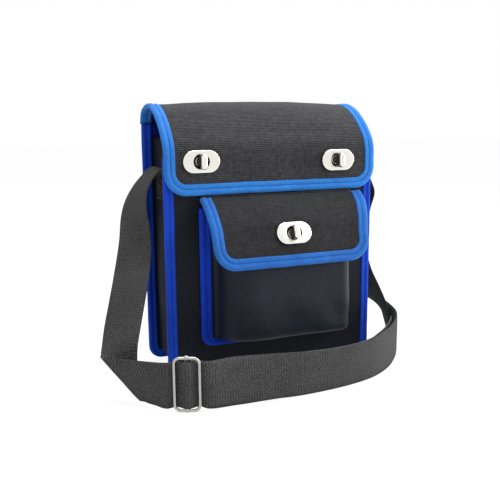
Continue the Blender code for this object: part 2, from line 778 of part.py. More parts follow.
def slider():
    """A bent wire frame with a middle bar, joined into one body."""
    half_wide, half_high = (slider_wide - slider_wire) / 2, (slider_high - slider_wire) / 2
    path = []
    for quarter, (side, rise) in enumerate(((1, 1), (-1, 1), (-1, -1), (1, -1))):
        for angle in np.linspace(0.0, math.pi / 2, corner_steps + 1):
            turn = angle + quarter * math.pi / 2
            across, up = math.cos(turn), math.sin(turn)
            path.append((
                side * (half_wide - slider_bend) + slider_bend * across,
                rise * (half_high - slider_bend) + slider_bend * up, across, up,
            ))
    points, faces = [], []
    for t, z, across, up in path:
        for k in range(wire_count):
            turn = 2 * math.pi * k / wire_count
            n = slider_wire / 2 * math.cos(turn)
            w = slider_wire / 2 * math.sin(turn)
            points.append(by_slider(t + n * across, slider_out + w, slider_high / 2 + z + n * up))
    size = len(path)
    for k in range(size):
        for i in range(wire_count):
            j, m = (i + 1) % wire_count, (k + 1) % size
            faces.append((k * wire_count + i, k * wire_count + j, m * wire_count + j, m * wire_count + i))
    frame = add_mesh("strap_slider", points, faces, "nickel")
    points, faces = [], []
    for z in (slider_wire / 2, slider_high - slider_wire / 2):
        for k in range(wire_count):
            turn = 2 * math.pi * k / wire_count
            t, n = slider_bar / 2 * math.cos(turn), slider_bar / 2 * math.sin(turn)
            points.append(by_slider(t, slider_out + n, z))
    for i in range(wire_count):
        j = (i + 1) % wire_count
        faces.append((i, j, wire_count + j, wire_count + i))
    faces.append(tuple(reversed(range(wire_count))))
    faces.append(tuple(range(wire_count, 2 * wire_count)))
    bar = add_mesh("slider_middle_bar", points, faces, "", cutters)
    tidy_mesh(frame)
    tidy_mesh(bar)
    change = frame.modifiers.new("bar", "BOOLEAN")
    change.operation = "UNION"
    change.solver = "EXACT"
    change.object = bar


slider()

for item in bag.objects:
    tidy_mesh(item)


def hang(name, y, z, items):
    """An empty on a hinge line, with the pieces that turn about it."""
    pivot = bpy.data.objects.new(name, None)
    pivot.location = (0.0, y, z)
    bag.objects.link(pivot)
    bpy.context.view_layer.update()
    for item in items:
        item.parent = pivot
        item.matrix_parent_inverse = pivot.matrix_world.inverted()


def set_origin(item, place):
    """Put a piece's origin on its own turning line without moving its shape."""
    from mathutils import Matrix, Vector
    item.data.transform(Matrix.Translation(-Vector(place)))
    item.location = Vector(place)


for lock, pieces in zip(main_locks + (pocket_lock,), (lock_left, lock_right, lock_pocket)):
    set_origin(pieces[2], tuple(lock.origin))
flap_cutters = [item for item in cutters.objects if item.name.startswith("main_flap_slot")]
main_parts = list(main_flap) + [lock_left[0], lock_left[1], lock_right[0], lock_right[1]] + flap_cutters
hang("main_flap_pivot", main_pivot_y, main_pivot_z, main_parts)
flap_cutters = [item for item in cutters.objects if item.name.startswith("pocket_flap_slot")]
pocket_parts = list(pocket_flap) + [lock_pocket[0], lock_pocket[1]] + flap_cutters
hang("pocket_flap_pivot", pocket_pivot_y, pocket_pivot_z, pocket_parts)
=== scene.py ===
import math
from collections import Counter

import bmesh
import bpy
import numpy as np
from mathutils import Matrix, Vector, noise


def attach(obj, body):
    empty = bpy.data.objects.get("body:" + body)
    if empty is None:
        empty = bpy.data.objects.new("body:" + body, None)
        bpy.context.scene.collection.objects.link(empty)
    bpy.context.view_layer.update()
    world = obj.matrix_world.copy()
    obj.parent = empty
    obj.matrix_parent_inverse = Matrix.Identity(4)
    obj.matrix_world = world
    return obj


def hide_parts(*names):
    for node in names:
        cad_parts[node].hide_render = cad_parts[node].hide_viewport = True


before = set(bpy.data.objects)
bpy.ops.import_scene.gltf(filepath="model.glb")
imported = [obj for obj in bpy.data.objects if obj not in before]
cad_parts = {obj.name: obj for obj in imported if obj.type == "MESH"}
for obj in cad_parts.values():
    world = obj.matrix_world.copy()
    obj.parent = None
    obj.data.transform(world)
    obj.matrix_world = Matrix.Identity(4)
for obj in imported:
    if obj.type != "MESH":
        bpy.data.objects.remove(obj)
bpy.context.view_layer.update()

# Sizes shared with the solids, in metres. GAP is the clearance between touching pieces.
GAP = 0.0003
CLOTH = 0.0012
FLAP_CLOTH = 0.0014
WEBBING = 0.0015
WEBBING_WIDTH = 0.0400

# The body: two panels with rounded lower corners, and a gusset between them.
BODY_HALF = 0.1040
BODY_DEPTH = 0.0750
BODY_FLOOR = 0.0013
BODY_CORNER = 0.0120
FRONT_TOP = 0.2050
BACK_TOP = 0.2350
BACK_TAPE_TOP = 0.2345
GUSSET_HALF = 0.0945
GUSSET_FLOOR = 0.0108
GUSSET_CORNER = 0.0030
GUSSET_TOP = 0.2224
GUSSET_BACK_TOP = 0.2210

# The pocket: a backing cloth on the front panel, and a shell that rises from POCKET_ROOT.
POCKET_CENTRE = 0.0033
POCKET_HALF = 0.0759
POCKET_TOP = 0.1600
POCKET_FLOOR = 0.0322
POCKET_CORNER = 0.0098
POCKET_BACK_Y = -0.0016
POCKET_ROOT = -0.0044
POCKET_DEPTH = 0.0333

# The flaps: half widths, the radius of their lower corners, and where their tape starts.
MAIN_FLAP_HALF = 0.1039
POCKET_FLAP_HALF = 0.0752
POCKET_FLAP_CENTRE = 0.0045
FLAP_CORNER = 0.0190
FLAP_TAPE_START = 0.0006

# Each tape's reach over the cloth, and its stitch line, both from the cloth's edge.
SEAM_REACH = 0.0080
FLAP_REACH = 0.0090
POCKET_REACH = 0.0097
SEAM_LINE = -0.0040
FLAP_LINE = -0.0047

# Side profiles, as depth and height: the flaps from their sewn edge, the pocket from its mouth.
MAIN_PROFILE = (
    (0.0768, 0.2342), (0.0755, 0.2385), (0.0716, 0.2455), (0.0632, 0.2495), (0.0500, 0.2511),
    (0.0385, 0.2490), (0.0280, 0.2449), (0.0183, 0.2384), (0.0098, 0.2312), (0.0036, 0.2243),
    (-0.0012, 0.2175), (-0.0035, 0.2100), (-0.0039, 0.1990), (-0.0040, 0.1900), (-0.0041, 0.1733),
)
POCKET_PROFILE = (
    (-0.0256, 0.1490), (-0.0262, 0.1475), (-0.0298, 0.1370), (-0.0332, 0.1275), (-0.0354, 0.1180),
    (-0.0364, 0.1080), (-0.0371, 0.0950), (-0.0377, 0.0750), (-0.0378, 0.0600), (-0.0376, 0.0490),
    (-0.0371, 0.0452), (-0.0353, 0.0419), (-0.0310, 0.0405), (-0.0200, 0.0400), (-0.0120, 0.0396),
    (POCKET_ROOT, 0.0392),
)
POCKET_FLAP_PROFILE = (
    (-0.0059, 0.1687), (-0.0132, 0.1642), (-0.0206, 0.1580), (-0.0260, 0.1516), (-0.0299, 0.1460),
    (-0.0332, 0.1370), (-0.0366, 0.1275), (-0.0387, 0.1185), (-0.0404, 0.1100),
)

# The turn locks' middles: the main flap's two by x and z, the pocket's in full, with its tilt.
MAIN_LOCK_Y = -0.0039
MAIN_LOCKS = ((-0.0715, 0.2017), (0.0645, 0.1996))
POCKET_LOCK = (POCKET_FLAP_CENTRE, -0.0332, 0.1370)
POCKET_LOCK_TILT = math.radians(19.5)

# Stitches as pitch, length and half thickness, and their rings as shares: along, width and lift.
TAPE_STITCH = (0.0034, 0.0027, 0.00028)
STRAP_STITCH = (0.0036, 0.0029, 0.0003)
STITCH_RINGS = (
    (-0.5, 0.35, -0.9), (-0.3, 1.0, 0.25), (0.0, 1.0, 0.25), (0.3, 1.0, 0.25), (0.5, 0.35, -0.9),
)

# The camera stands where the photograph was taken from. Its turn is yaw, pitch and roll in degrees.
PHOTO_PIXELS = 500.0
FOCAL_PIXELS = 692.0
SENSOR_WIDTH = 36.0
CAMERA_TURN = (22.11, 10.55, -0.49)
CAMERA_SPOT = (-0.26235, -0.58712, 0.23637)


def photo_camera():
    data = bpy.data.cameras.new("camera")
    data.sensor_width = SENSOR_WIDTH
    data.lens = FOCAL_PIXELS / PHOTO_PIXELS * SENSOR_WIDTH
    data.clip_start = 0.01
    camera = bpy.data.objects.new("camera", data)
    bpy.context.scene.collection.objects.link(camera)
    yaw, pitch, roll = (math.radians(a) for a in CAMERA_TURN)
    ahead = Vector((math.sin(yaw) * math.cos(pitch), math.cos(yaw) * math.cos(pitch), -math.sin(pitch)))
    level = ahead.cross(Vector((0, 0, 1))).normalized()
    above = level.cross(ahead)
    right = math.cos(roll) * level + math.sin(roll) * above
    up = -math.sin(roll) * level + math.cos(roll) * above
    camera.matrix_world = Matrix([*zip(right, up, -ahead, CAMERA_SPOT), (0, 0, 0, 1)])
    bpy.context.scene.camera = camera


photo_camera()
bpy.context.scene.view_settings.view_transform = "Standard"


def linear(r, g, b):
    """An sRGB colour from 0 to 255 as the linear colour a shader takes."""
    def one(c):
        c = c / 255.0
        return c / 12.92 if c <= 0.04045 else ((c + 0.055) / 1.055) ** 2.4
    return (one(r), one(g), one(b), 1.0)


def dimmed(colour, share):
    return tuple(c * share for c in colour[:3]) + (1.0,)


def put(tree, socket, value):
    """Links a node's output to the socket, or sets a plain value on it."""
    if isinstance(value, bpy.types.NodeSocket):
        tree.links.new(value, socket)
    else:
        socket.default_value = value


def new_node(tree, kind, inputs=None, **settings):
    node = tree.nodes.new("ShaderNode" + kind)
    for key, value in settings.items():
        setattr(node, key, value)
    for key, value in (inputs or {}).items():
        put(tree, node.inputs[key], value)
    return node


class Nodes:
    """A short way to build a material's nodes."""

    def __init__(self, name):
        self.material = bpy.data.materials.new(name)
        self.material.use_nodes = True
        self.tree = self.material.node_tree

    def new(self, kind, inputs=None, **settings):
        return new_node(self.tree, kind, inputs, **settings)

    def surface(self, inputs):
        """Sets or links the shader's own sockets, and gives the finished material."""
        for key, value in inputs.items():
            put(self.tree, self.tree.nodes["Principled BSDF"].inputs[key], value)
        return self.material

    def maths(self, kind, *values):
        return self.new("Math", dict(enumerate(values)), operation=kind).outputs[0]

    def total(self, first, *others):
        for value in others:
            first = self.maths("ADD", first, value)
        return first

    def times(self, first, second):
        return self.maths("MULTIPLY", first, second)

    def uv(self):
        """The surface's own lengths in metres, along it and across it."""
        place = self.new("UVMap", uv_map="metres").outputs[0]
        split = self.new("SeparateXYZ", {0: place})
        return split.outputs[0], split.outputs[1]

    def noise(self, scale, detail):
        place = self.new("TexCoord").outputs["Object"]
        inputs = {"Vector": place, "Scale": scale, "Detail": detail, "Roughness": 0.55}
        return self.new("TexNoise", inputs).outputs["Fac"]

    def spread(self, value, low, high, new_low, new_high):
        ends = {"From Min": low, "From Max": high, "To Min": new_low, "To Max": new_high}
        return self.new("MapRange", {"Value": value, **ends}).outputs["Result"]

    def clamped(self, value):
        return self.maths("MINIMUM", self.maths("MAXIMUM", value, 0.0), 1.0)

    def blend(self, share, a, b):
        return self.new("Mix", {"Factor": share, 6: a, 7: b}, data_type="RGBA").outputs[2]

    def bump(self, height, distance, strength, below=None):
        inputs = {"Height": height, "Distance": distance, "Strength": strength}
        if below is not None:
            inputs["Normal"] = below
        return self.new("Bump", inputs).outputs[0]

    def wave(self, value, pitch):
        return self.maths("SINE", self.times(value, 2 * math.pi / pitch))


def canvas(name, dark, light, weave, rough, sheen, gloss):
    """Woven canvas with fine ribs and uneven dye, its high threads lighter than its low ones."""
    rib_pitch, warp_pitch, depth = weave
    n = Nodes(name)
    u, v = n.uv()
    ribs, warp = n.wave(v, rib_pitch), n.wave(u, warp_pitch)
    height = n.total(n.times(ribs, 0.65), n.times(warp, 0.35), n.times(n.times(ribs, warp), 0.45))
    slub, cloud = n.noise(260.0, 2.0), n.noise(22.0, 4.0)
    share = n.total(
        n.spread(height, -1.2, 1.2, 0.13, 0.69),
        n.spread(slub, 0.3, 0.7, -0.18, 0.22),
        n.spread(cloud, 0.3, 0.7, -0.12, 0.14),
    )
    creases = n.bump(n.noise(70.0, 3.0), 0.0006, 0.35)
    return n.surface({
        "Base Color": n.blend(n.clamped(share), linear(*dark), linear(*light)),
        "Roughness": n.spread(cloud, 0.3, 0.7, rough - 0.05, rough + 0.05),
        "Normal": n.bump(height, depth, 0.65, creases),
        "Sheen Weight": sheen,
        "Sheen Roughness": 0.45,
        "Specular IOR Level": gloss,
    })


def tape_material(name, deep, bright, worn, line, leaf_shade_share):
    """Folded cotton tape: fine cross ribs, with painted shade on its inner leaf and in its stitch groove.
    """
    deep, bright, worn = (linear(*c) for c in (deep, bright, worn))
    n = Nodes(name)
    u, v = n.uv()
    height = n.total(n.times(n.wave(u, 0.00110), 0.7), n.times(n.wave(v, 0.00060), 0.3))
    fibre, cloud = n.noise(420.0, 2.0), n.noise(26.0, 3.0)
    share = n.total(
        n.spread(height, -1.0, 1.0, 0.3, 0.7),
        n.spread(cloud, 0.3, 0.7, -0.14, 0.14),
        n.spread(fibre, 0.3, 0.7, -0.08, 0.08),
    )
    # Painted shade: the inner leaf is darkened against the roll over the edge.
    leaf = n.spread(v, line - 0.0002, line + 0.0006, leaf_shade_share, 1.0)
    colour = n.blend(n.times(n.clamped(share), leaf), deep, bright)
    patches = n.spread(n.noise(60.0, 4.0), 0.56, 0.76, 0.0, 0.3)
    colour = n.blend(n.times(patches, n.spread(fibre, 0.42, 0.6, 0.0, 0.6)), colour, worn)
    # Painted shade: the stitch groove is darkened.
    from_line = n.maths("ABSOLUTE", n.maths("SUBTRACT", v, line))
    groove_shade_share = n.spread(from_line, 0.0, 0.0007, 0.45, 0.0)
    return n.surface({
        "Base Color": n.blend(groove_shade_share, colour, dimmed(deep, 0.3)),
        "Roughness": 0.78,
        "Normal": n.bump(height, 0.00010, 0.6, n.bump(cloud, 0.0004, 0.3)),
        "Sheen Weight": 0.06,
        "Sheen Roughness": 0.5,
        "Specular IOR Level": 0.16,
    })


def webbing_material(name, dark, light):
    """Herringbone webbing: slanting ribs that turn back every few millimetres."""
    n = Nodes(name)
    u, v = n.uv()
    ribs = n.wave(n.total(u, n.maths("PINGPONG", v, 0.0033)), 0.0024)
    picks = n.wave(v, 0.0021)
    height = n.total(n.times(ribs, 0.5), n.times(n.times(ribs, picks), 0.6))
    share = n.total(
        n.spread(height, -1.0, 1.0, 0.08, 0.72),
        n.spread(n.noise(650.0, 2.0), 0.35, 0.65, -0.12, 0.14),
        n.spread(n.noise(30.0, 3.0), 0.3, 0.7, -0.06, 0.06),
    )
    return n.surface({
        "Base Color": n.blend(n.clamped(share), linear(*dark), linear(*light)),
        "Roughness": 0.8,
        "Normal": n.bump(height, 0.00032, 0.8),
        "Sheen Weight": 0.02,
        "Specular IOR Level": 0.06,
    })


def metal(name, colour, rough):
    """Plated metal with faint brushing, pits and dulled patches. The colour is linear."""
    n = Nodes(name)
    patch, fine = n.noise(90.0, 4.0), n.noise(900.0, 2.0)
    base = n.spread(patch, 0.3, 0.7, rough - 0.04, rough + 0.06)
    return n.surface({
        "Base Color": n.blend(n.spread(patch, 0.4, 0.75, 0.0, 0.25), colour + (1.0,), dimmed(colour, 0.82)),
        "Metallic": 1.0,
        "Roughness": n.total(base, n.spread(fine, 0.3, 0.7, -0.02, 0.02)),
        "Normal": n.bump(patch, 0.0001, 0.10),
    })


def thread_material(name, colour):
    """Twisted sewing thread."""
    colour = linear(*colour)
    n = Nodes(name)
    twist = n.wave(n.total(*n.uv()), 0.0006)
    return n.surface({
        "Base Color": n.blend(n.spread(twist, -1.0, 1.0, 0.0, 1.0), dimmed(colour, 0.6), colour),
        "Roughness": 0.7,
        "Specular IOR Level": 0.2,
        "Normal": n.bump(twist, 0.0001, 0.5),
    })


# Weaves as rib pitch, warp pitch and depth, in metres.
FLAP_WEAVE = (0.00170, 0.0013, 0.00030)
COATED_WEAVE = (0.00095, 0.00095, 0.00006)
UNDER_WEAVE = (0.0011, 0.0011, 0.00015)
INNER_WEAVE = (0.0011, 0.0011, 0.00012)

# Canvas: darkest and lightest colour, weave, roughness, sheen and gloss.
FLAP_TOP = canvas("flap_canvas_outer", (18, 18, 20), (71, 71, 74), FLAP_WEAVE, 0.85, 0.10, 0.22)
# The pocket flap's canvas is a darker copy of the flap canvas: painted shade.
POCKET_FLAP_PAINTED_SHADE = canvas("pocket_flap_canvas_painted_shade", (11, 11, 12), (54, 54, 57), FLAP_WEAVE, 0.85, 0.05, 0.22)
FLAP_UNDER = canvas("flap_canvas_under", (8, 13, 44), (20, 31, 84), UNDER_WEAVE, 0.85, 0.0, 0.1)
BODY = canvas("body_canvas_coated", (9, 12, 18), (27, 32, 43), COATED_WEAVE, 0.52, 0.0, 0.14)
# The pocket's canvas is a lighter, glossier copy of the body canvas: painted light.
POCKET_CLOTH_PAINTED_LIGHT = canvas("pocket_canvas_coated_painted_light", (11, 15, 22), (31, 38, 52), COATED_WEAVE, 0.50, 0.0, 0.20)
# The gusset's canvas is a darker, duller copy of the body canvas: painted shade on the side away from the
# lamps.
SIDE_CLOTH_PAINTED_SHADE = canvas("side_canvas_coated_painted_shade", (8, 11, 17), (24, 29, 40), COATED_WEAVE, 0.62, 0.0, 0.05)
BODY_IN = canvas("body_canvas_inside", (16, 18, 23), (34, 38, 46), INNER_WEAVE, 0.85, 0.0, 0.10)
LINING = canvas("blue_lining", (8, 18, 78), (20, 40, 146), INNER_WEAVE, 0.85, 0.0, 0.10)

# Tape: deep, bright and worn colour, stitch line, and how bright its inner leaf stays under painted shade.
# The four tapes are one blue tape in lit and shaded copies: the flaps' are lighter, painted light from
# above, the pocket flap's a little less.
BLUE = tape_material("binding_tape", (8, 40, 150), (26, 86, 224), (60, 116, 236), SEAM_LINE, 0.75)
BLUE_POCKET = tape_material(
    "binding_tape_pocket", (8, 36, 150), (22, 74, 220), (50, 100, 232), FLAP_LINE, 0.75)
BLUE_FRONT_PAINTED_LIGHT = tape_material(
    "binding_tape_flap_painted_light", (20, 80, 165), (60, 148, 230), (104, 172, 240), FLAP_LINE, 0.70)
BLUE_SMALL_PAINTED_LIGHT = tape_material(
    "binding_tape_pocket_flap_painted_light", (16, 66, 142), (50, 122, 206), (90, 150, 224), FLAP_LINE, 0.70)

GREY = webbing_material("strap_webbing", (21, 21, 21), (104, 104, 104))
# A pale colour that paints a highlight on the second layer's selvages.
EDGE_PAINTED_HIGHLIGHT = thread_material("webbing_edge_painted_highlight", (120, 122, 126))
NICKEL = metal("nickel_plate", (0.84, 0.82, 0.76), 0.22)
# The slider's wire is a darker copy of the plate nickel: painted shade for the dark surroundings it
# reflects.
NICKEL_WIRE_PAINTED_SHADE = metal("nickel_wire_painted_shade", (0.44, 0.43, 0.40), 0.20)
NICKEL_DARK = metal("nickel_shaded", (0.115, 0.100, 0.075), 0.40)
BLUE_THREAD = thread_material("blue_thread", (14, 50, 150))
DARK_THREAD = thread_material("dark_thread", (34, 34, 37))


def piece(name, points, faces, uvs, materials, body, nodes, face_slots=None, tube=False):
    """A mesh object from points and faces. tube merges a tube's seam and closes its ends."""
    mesh = bpy.data.meshes.new(name)
    mesh.from_pydata([tuple(float(c) for c in p) for p in points], [], faces)
    corners = [loop.vertex_index for loop in mesh.loops]
    mesh.uv_layers.new(name="metres").data.foreach_set("uv", np.array(uvs, float)[corners].ravel())
    for material in materials:
        mesh.materials.append(material)
    if face_slots is not None:
        mesh.polygons.foreach_set("material_index", face_slots)
    mesh.polygons.foreach_set("use_smooth", [True] * len(mesh.polygons))
    work = bmesh.new()
    work.from_mesh(mesh)
    if tube:
        bmesh.ops.remove_doubles(work, verts=work.verts, dist=0.000001)
        bmesh.ops.holes_fill(work, edges=[e for e in work.edges if e.is_boundary], sides=0)
    bmesh.ops.recalc_face_normals(work, faces=work.faces)
    work.to_mesh(mesh)
    work.free()
    item = bpy.data.objects.new(name, mesh)
    bpy.context.scene.collection.objects.link(item)
    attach(item, body)
    if nodes:
        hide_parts(*nodes)


def ring_faces(rings, sides, closed=False):
    """Faces between rings of points, with end caps unless the last ring meets the first."""
    faces = []
    for k in range(rings if closed else rings - 1):
        low, high = k * sides, (k + 1) % rings * sides
        for i in range(sides):
            j = (i + 1) % sides
            faces.append((low + i, low + j, high + j, high + i))
    if not closed:
        faces.append(tuple(range(sides)))
        faces.append(tuple((rings - 1) * sides + i for i in range(sides)))
    return faces


def grid_faces(rows, columns):
    """Faces between neighbours in a grid of points."""
    starts = (a for r in range(rows - 1) for a in range(r * columns, (r + 1) * columns - 1))
    return [(a, a + 1, a + columns + 1, a + columns) for a in starts]


def sheet_faces(upper, below):
    """Both sides of a sheet and its rim, with the under side in the second material."""
    under = [tuple(below + k for k in face[:1] + face[:0:-1]) for face in upper]
    edges = Counter(tuple(sorted(edge)) for face in upper for edge in zip(face, face[1:] + face[:1]))
    rim = [(a, b, below + b, below + a) for (a, b), count in edges.items() if count == 1]
    return upper + under + rim, [0] * len(upper) + [1] * len(under) + [0] * len(rim)


def ramp(value, low, high):
    """Zero below low, one above high, and a straight rise between."""
    return min(max((value - low) / (high - low), 0.0), 1.0)


def eased(share):
    """The same rise with a soft start and end."""
    return share * share * (3 - 2 * share)


def wobble(x, y, scale, seed):
    """Smooth noise from about -1 to 1; scale is in bumps a metre."""
    return noise.noise(Vector((x * scale + seed, y * scale - seed, 0.37 * seed)))


def distances(points):
    """The distance along a line at each of its points."""
    steps = np.linalg.norm(np.diff(points, axis=0), axis=1)
    return np.concatenate([[0.0], np.cumsum(steps)])


def corner_inset(past, radius):
    """How far in a rounded corner's side has come, past the corner's start."""
    return radius - math.sqrt(max(radius ** 2 - past ** 2, 0.0)) if past > 0 else 0.0


def part_way(t, low, high, first, second):
    """The place at t on the line that has first at low and second at high."""
    return ((high - t) * first + (t - low) * second) / (high - low)


def smooth_line(points, steps):
    """A smooth line through the points that doesn't swing past them."""
    p = [np.array(q, float) for q in points]
    p = [2 * p[0] - p[1]] + p + [2 * p[-1] - p[-2]]
    line = []
    for k in range(1, len(p) - 2):
        a, b, c, d = p[k - 1], p[k], p[k + 1], p[k + 2]
        knots = [0.0]
        for first, second in ((a, b), (b, c), (c, d)):
            knots.append(knots[-1] + math.sqrt(float(np.linalg.norm(second - first))))
        t0, t1, t2, t3 = knots
        for share in np.linspace(0.0, 1.0, steps, endpoint=False):
            t = t1 + share * (t2 - t1)
            ab, bc, cd = part_way(t, t0, t1, a, b), part_way(t, t1, t2, b, c), part_way(t, t2, t3, c, d)
            line.append(part_way(t, t1, t2, part_way(t, t0, t2, ab, bc), part_way(t, t1, t3, bc, cd)))
    line.append(p[-2])
    return np.array(line)


class Bent:
    """Cloth bent in one direction: u is across, v is down the profile, w is outward.

    flare spreads its upper corners sideways: centre, half width, left and right spread, and depth.
    """

    def __init__(self, profile, flare=None):
        self.flare = flare
        self.line = smooth_line(profile, 8)
        self.run = distances(self.line)
        self.length = float(self.run[-1])
        slope = np.gradient(self.line, self.run, axis=0)
        for _ in range(6):
            slope[1:-1] = (slope[:-2] + 2 * slope[1:-1] + slope[2:]) / 4
        slope /= np.linalg.norm(slope, axis=1)[:, None]
        self.normal = np.column_stack([slope[:, 1], -slope[:, 0]])
        self.end_slope = slope[-1]

    def __call__(self, u, v, w):
        inside = min(max(v, 0.0), self.length)
        y, z = (np.interp(inside, self.run, self.line[:, i]) for i in (0, 1))
        ny, nz = (np.interp(inside, self.run, self.normal[:, i]) for i in (0, 1))
        size = math.hypot(ny, nz)
        if self.flare:
            centre, half, left, right, depth = self.flare
            share = (u - centre) / half
            u += share * (right if share > 0 else left) * (1 - eased(ramp(v, 0.0, depth)))
        past = v - inside
        y += past * self.end_slope[0]
        z += past * self.end_slope[1]
        return (u, y + w * ny / size, z + w * nz / size)


def edge_path(left, right, top, bottom, radius, spacing):
    """Stations down the left side, round the bottom and up the right side.

    Each has its place and its outward direction. bottom is the larger value on a flap, where v runs down.
    """
    sense = 1.0 if bottom > top else -1.0
    turn = bottom - sense * radius
    down = max(2, int(abs(turn - top) / spacing))
    along = max(2, int((right - left - 2 * radius) / spacing))
    side = [(left, v, -1.0, 0.0) for v in np.linspace(top, turn, down, endpoint=False)]
    for angle in np.linspace(0.0, math.pi / 2, 13):
        across, drop = -math.cos(angle), sense * math.sin(angle)
        side.append((left + radius + radius * across, turn + radius * drop, across, drop))
    lower = np.linspace(left + radius, right - radius, along + 1)[1:-1]
    other_side = [(left + right - u, v, -across, drop) for u, v, across, drop in reversed(side)]
    return side + [(u, bottom, 0.0, sense) for u in lower] + other_side


def tape_section(top_face, low_face, reach, line, full):
    """The tape's outline: leaf, stitch groove, roll over the edge, and the same underneath."""
    upper = (
        (-reach, 0.00010), (-reach + 0.0003, 0.00060), (-reach + 0.0009, 0.00085), (line - 0.0012, 0.00090),
        (line - 0.0005, 0.00070), (line, 0.00030), (line + 0.0005, 0.00075), (line + 0.0015, 0.00115),
        (line * 0.35, 0.00135), (-0.0002, 0.00115),
    )
    section = [(n, top_face + w) for n, w in upper]
    depth = top_face - low_face
    for share in (0.16, 0.34, 0.5, 0.66, 0.84):
        bulge = full * math.sin(math.pi * share)
        section.append((0.0004 + bulge * 0.8, top_face + 0.0006 - share * (depth + 0.0012)))
    return section + [(n, low_face - w * 0.8) for n, w in reversed(upper)]


def stitches(name, lines, stitch, material, body):
    """A row of sewn threads along each line of points; each line has an outward direction per point."""
    pitch, length, thick = stitch
    sides = 5
    points, faces, uvs = [], [], []
    for line, outs in lines:
        rows = np.hstack([line, outs]).T
        run = distances(rows[:3].T)
        at = pitch * 0.5
        while at + length / 2 < run[-1]:
            places = [np.array([np.interp(at + ring[0] * length, run, row) for row in rows])
                      for ring in STITCH_RINGS]
            travel = places[-1][:3] - places[0][:3]
            travel /= np.linalg.norm(travel)
            base = len(points)
            for place, (share, wide, lift) in zip(places, STITCH_RINGS):
                out = place[3:] / np.linalg.norm(place[3:]) * thick
                cross = np.cross(travel, out)
                for k in range(sides):
                    turn = 2 * math.pi * k / sides
                    move = out * (lift + wide * math.sin(turn)) + cross * wide * math.cos(turn)
                    points.append(place[:3] + move)
                    uvs.append((at + share * length, k * thick))
            faces += [tuple(base + k for k in face) for face in ring_faces(len(STITCH_RINGS), sides)]
            at += pitch
    piece(name, points, faces, uvs, (material,), body, ())


def groove(place, path, n, w, way):
    """The stitch groove's line at depth w, and its outward directions. way is -1 under the tape."""
    step = 0.001
    line, outs = [], []
    for u, v, nu, nv in path:
        a = np.array(place(u + n * nu, v + n * nv, w))
        b = np.array(place(u + n * nu, v + n * nv, w + way * step))
        line.append(a)
        outs.append((b - a) / step)
    return line, outs


def sewn_tape(name, place, path, section, line, grooves, material, body, node, seed):
    """Folded tape, a rounded section carried along an edge with small puckers, and its stitches."""
    closed = section + section[:1]
    around = distances(closed)
    middle = sum(w for n, w in section) / len(section)
    run = distances([place(u, v, 0.0) for u, v, nu, nv in path])
    points, uvs = [], []
    for at, (u, v, nu, nv) in zip(run, path):
        pucker = 1.0 + 0.10 * wobble(at, 0.0, 170.0, seed) + 0.06 * wobble(at, 0.0, 420.0, seed + 3)
        edge = 0.00025 * wobble(at, 0.1, 60.0, seed + 7)
        for (n, w), along in zip(closed, around):
            points.append(place(u + (n + edge) * nu, v + (n + edge) * nv, middle + (w - middle) * pucker))
            uvs.append((at, along))
    faces = grid_faces(len(path), len(closed))
    piece(name, points, faces, uvs, (material,), body, (node,), tube=True)
    rows = [groove(place, path, line, w, way) for w, way in grooves]
    stitches(name + "_stitches", rows, TAPE_STITCH, BLUE_THREAD, body)


def in_hole(u, v, hole):
    """True inside the rounded hole that a lock's plate covers."""
    wide, high = 0.0185, 0.0155
    across = max(abs(u - hole[0]) - (wide / 2 - high / 2), 0.0)
    return math.hypot(across, v - hole[1]) < high / 2


def flap(name, bent, half, centre, locks, seed, swell, crown, cloth, binding):
    """A flap's cloth as one bent sheet with soft waves, then its tape and stitching."""
    rows = int(bent.length / 0.0022)
    columns = int(2 * half / 0.0024)
    holes = []
    for x, z in locks:
        miss = np.where(bent.run < 0.3 * bent.length, 1.0, np.abs(bent.line[:, 1] - z))
        holes.append((x, bent.run[int(np.argmin(miss))]))

    def lift(u, v):
        """Soft waves that fade at the tape and the locks, and the crown over the top."""
        side = half - abs(u - centre)
        rise = swell * ramp(min(side, bent.length - v, v + 0.004), 0.004, 0.020)
        rise *= 0.9 * wobble(u, v, 17.0, seed) + 0.45 * wobble(u, v, 45.0, seed + 5)
        for x, at in holes:
            rise *= ramp(math.hypot((u - x) / 1.5, v - at), 0.010, 0.022)
        arch = math.sin(math.pi * min(v / (0.62 * bent.length), 1.0))
        across = 1 - ((u - centre) / half) ** 2
        return rise + crown * arch * across * eased(ramp(side, 0.002, 0.012))

    points, uvs = [], []
    for w in (FLAP_CLOTH / 2, -FLAP_CLOTH / 2):
        for r in range(rows + 1):
            v = bent.length * r / rows
            inset = corner_inset(v - (bent.length - FLAP_CORNER), FLAP_CORNER)
            for c in range(columns + 1):
                u = centre + (2 * c / columns - 1) * (half - inset)
                points.append(bent(u, v, w + lift(u, v)))
                uvs.append((u, v))
    upper = []
    for face in grid_faces(rows + 1, columns + 1):
        u, v = np.mean([uvs[k] for k in face], axis=0)
        if not any(in_hole(u, v, hole) for hole in holes):
            upper.append(face)
    faces, face_slots = sheet_faces(upper, len(points) // 2)
    materials = (cloth, FLAP_UNDER)
    piece(name + "_cloth", points, faces, uvs, materials, name, (name,), face_slots)

    face = FLAP_CLOTH / 2 + GAP
    path = edge_path(centre - half, centre + half, FLAP_TAPE_START, bent.length, FLAP_CORNER, 0.0022)
    section = tape_section(face, -face, FLAP_REACH, FLAP_LINE, 0.0013)
    grooves = ((face + 0.00040, 1.0), (-face - 0.00036, -1.0))
    sewn_tape(name + "_tape", bent, path, section, FLAP_LINE, grooves, binding, name,
              name + "_binding", seed)


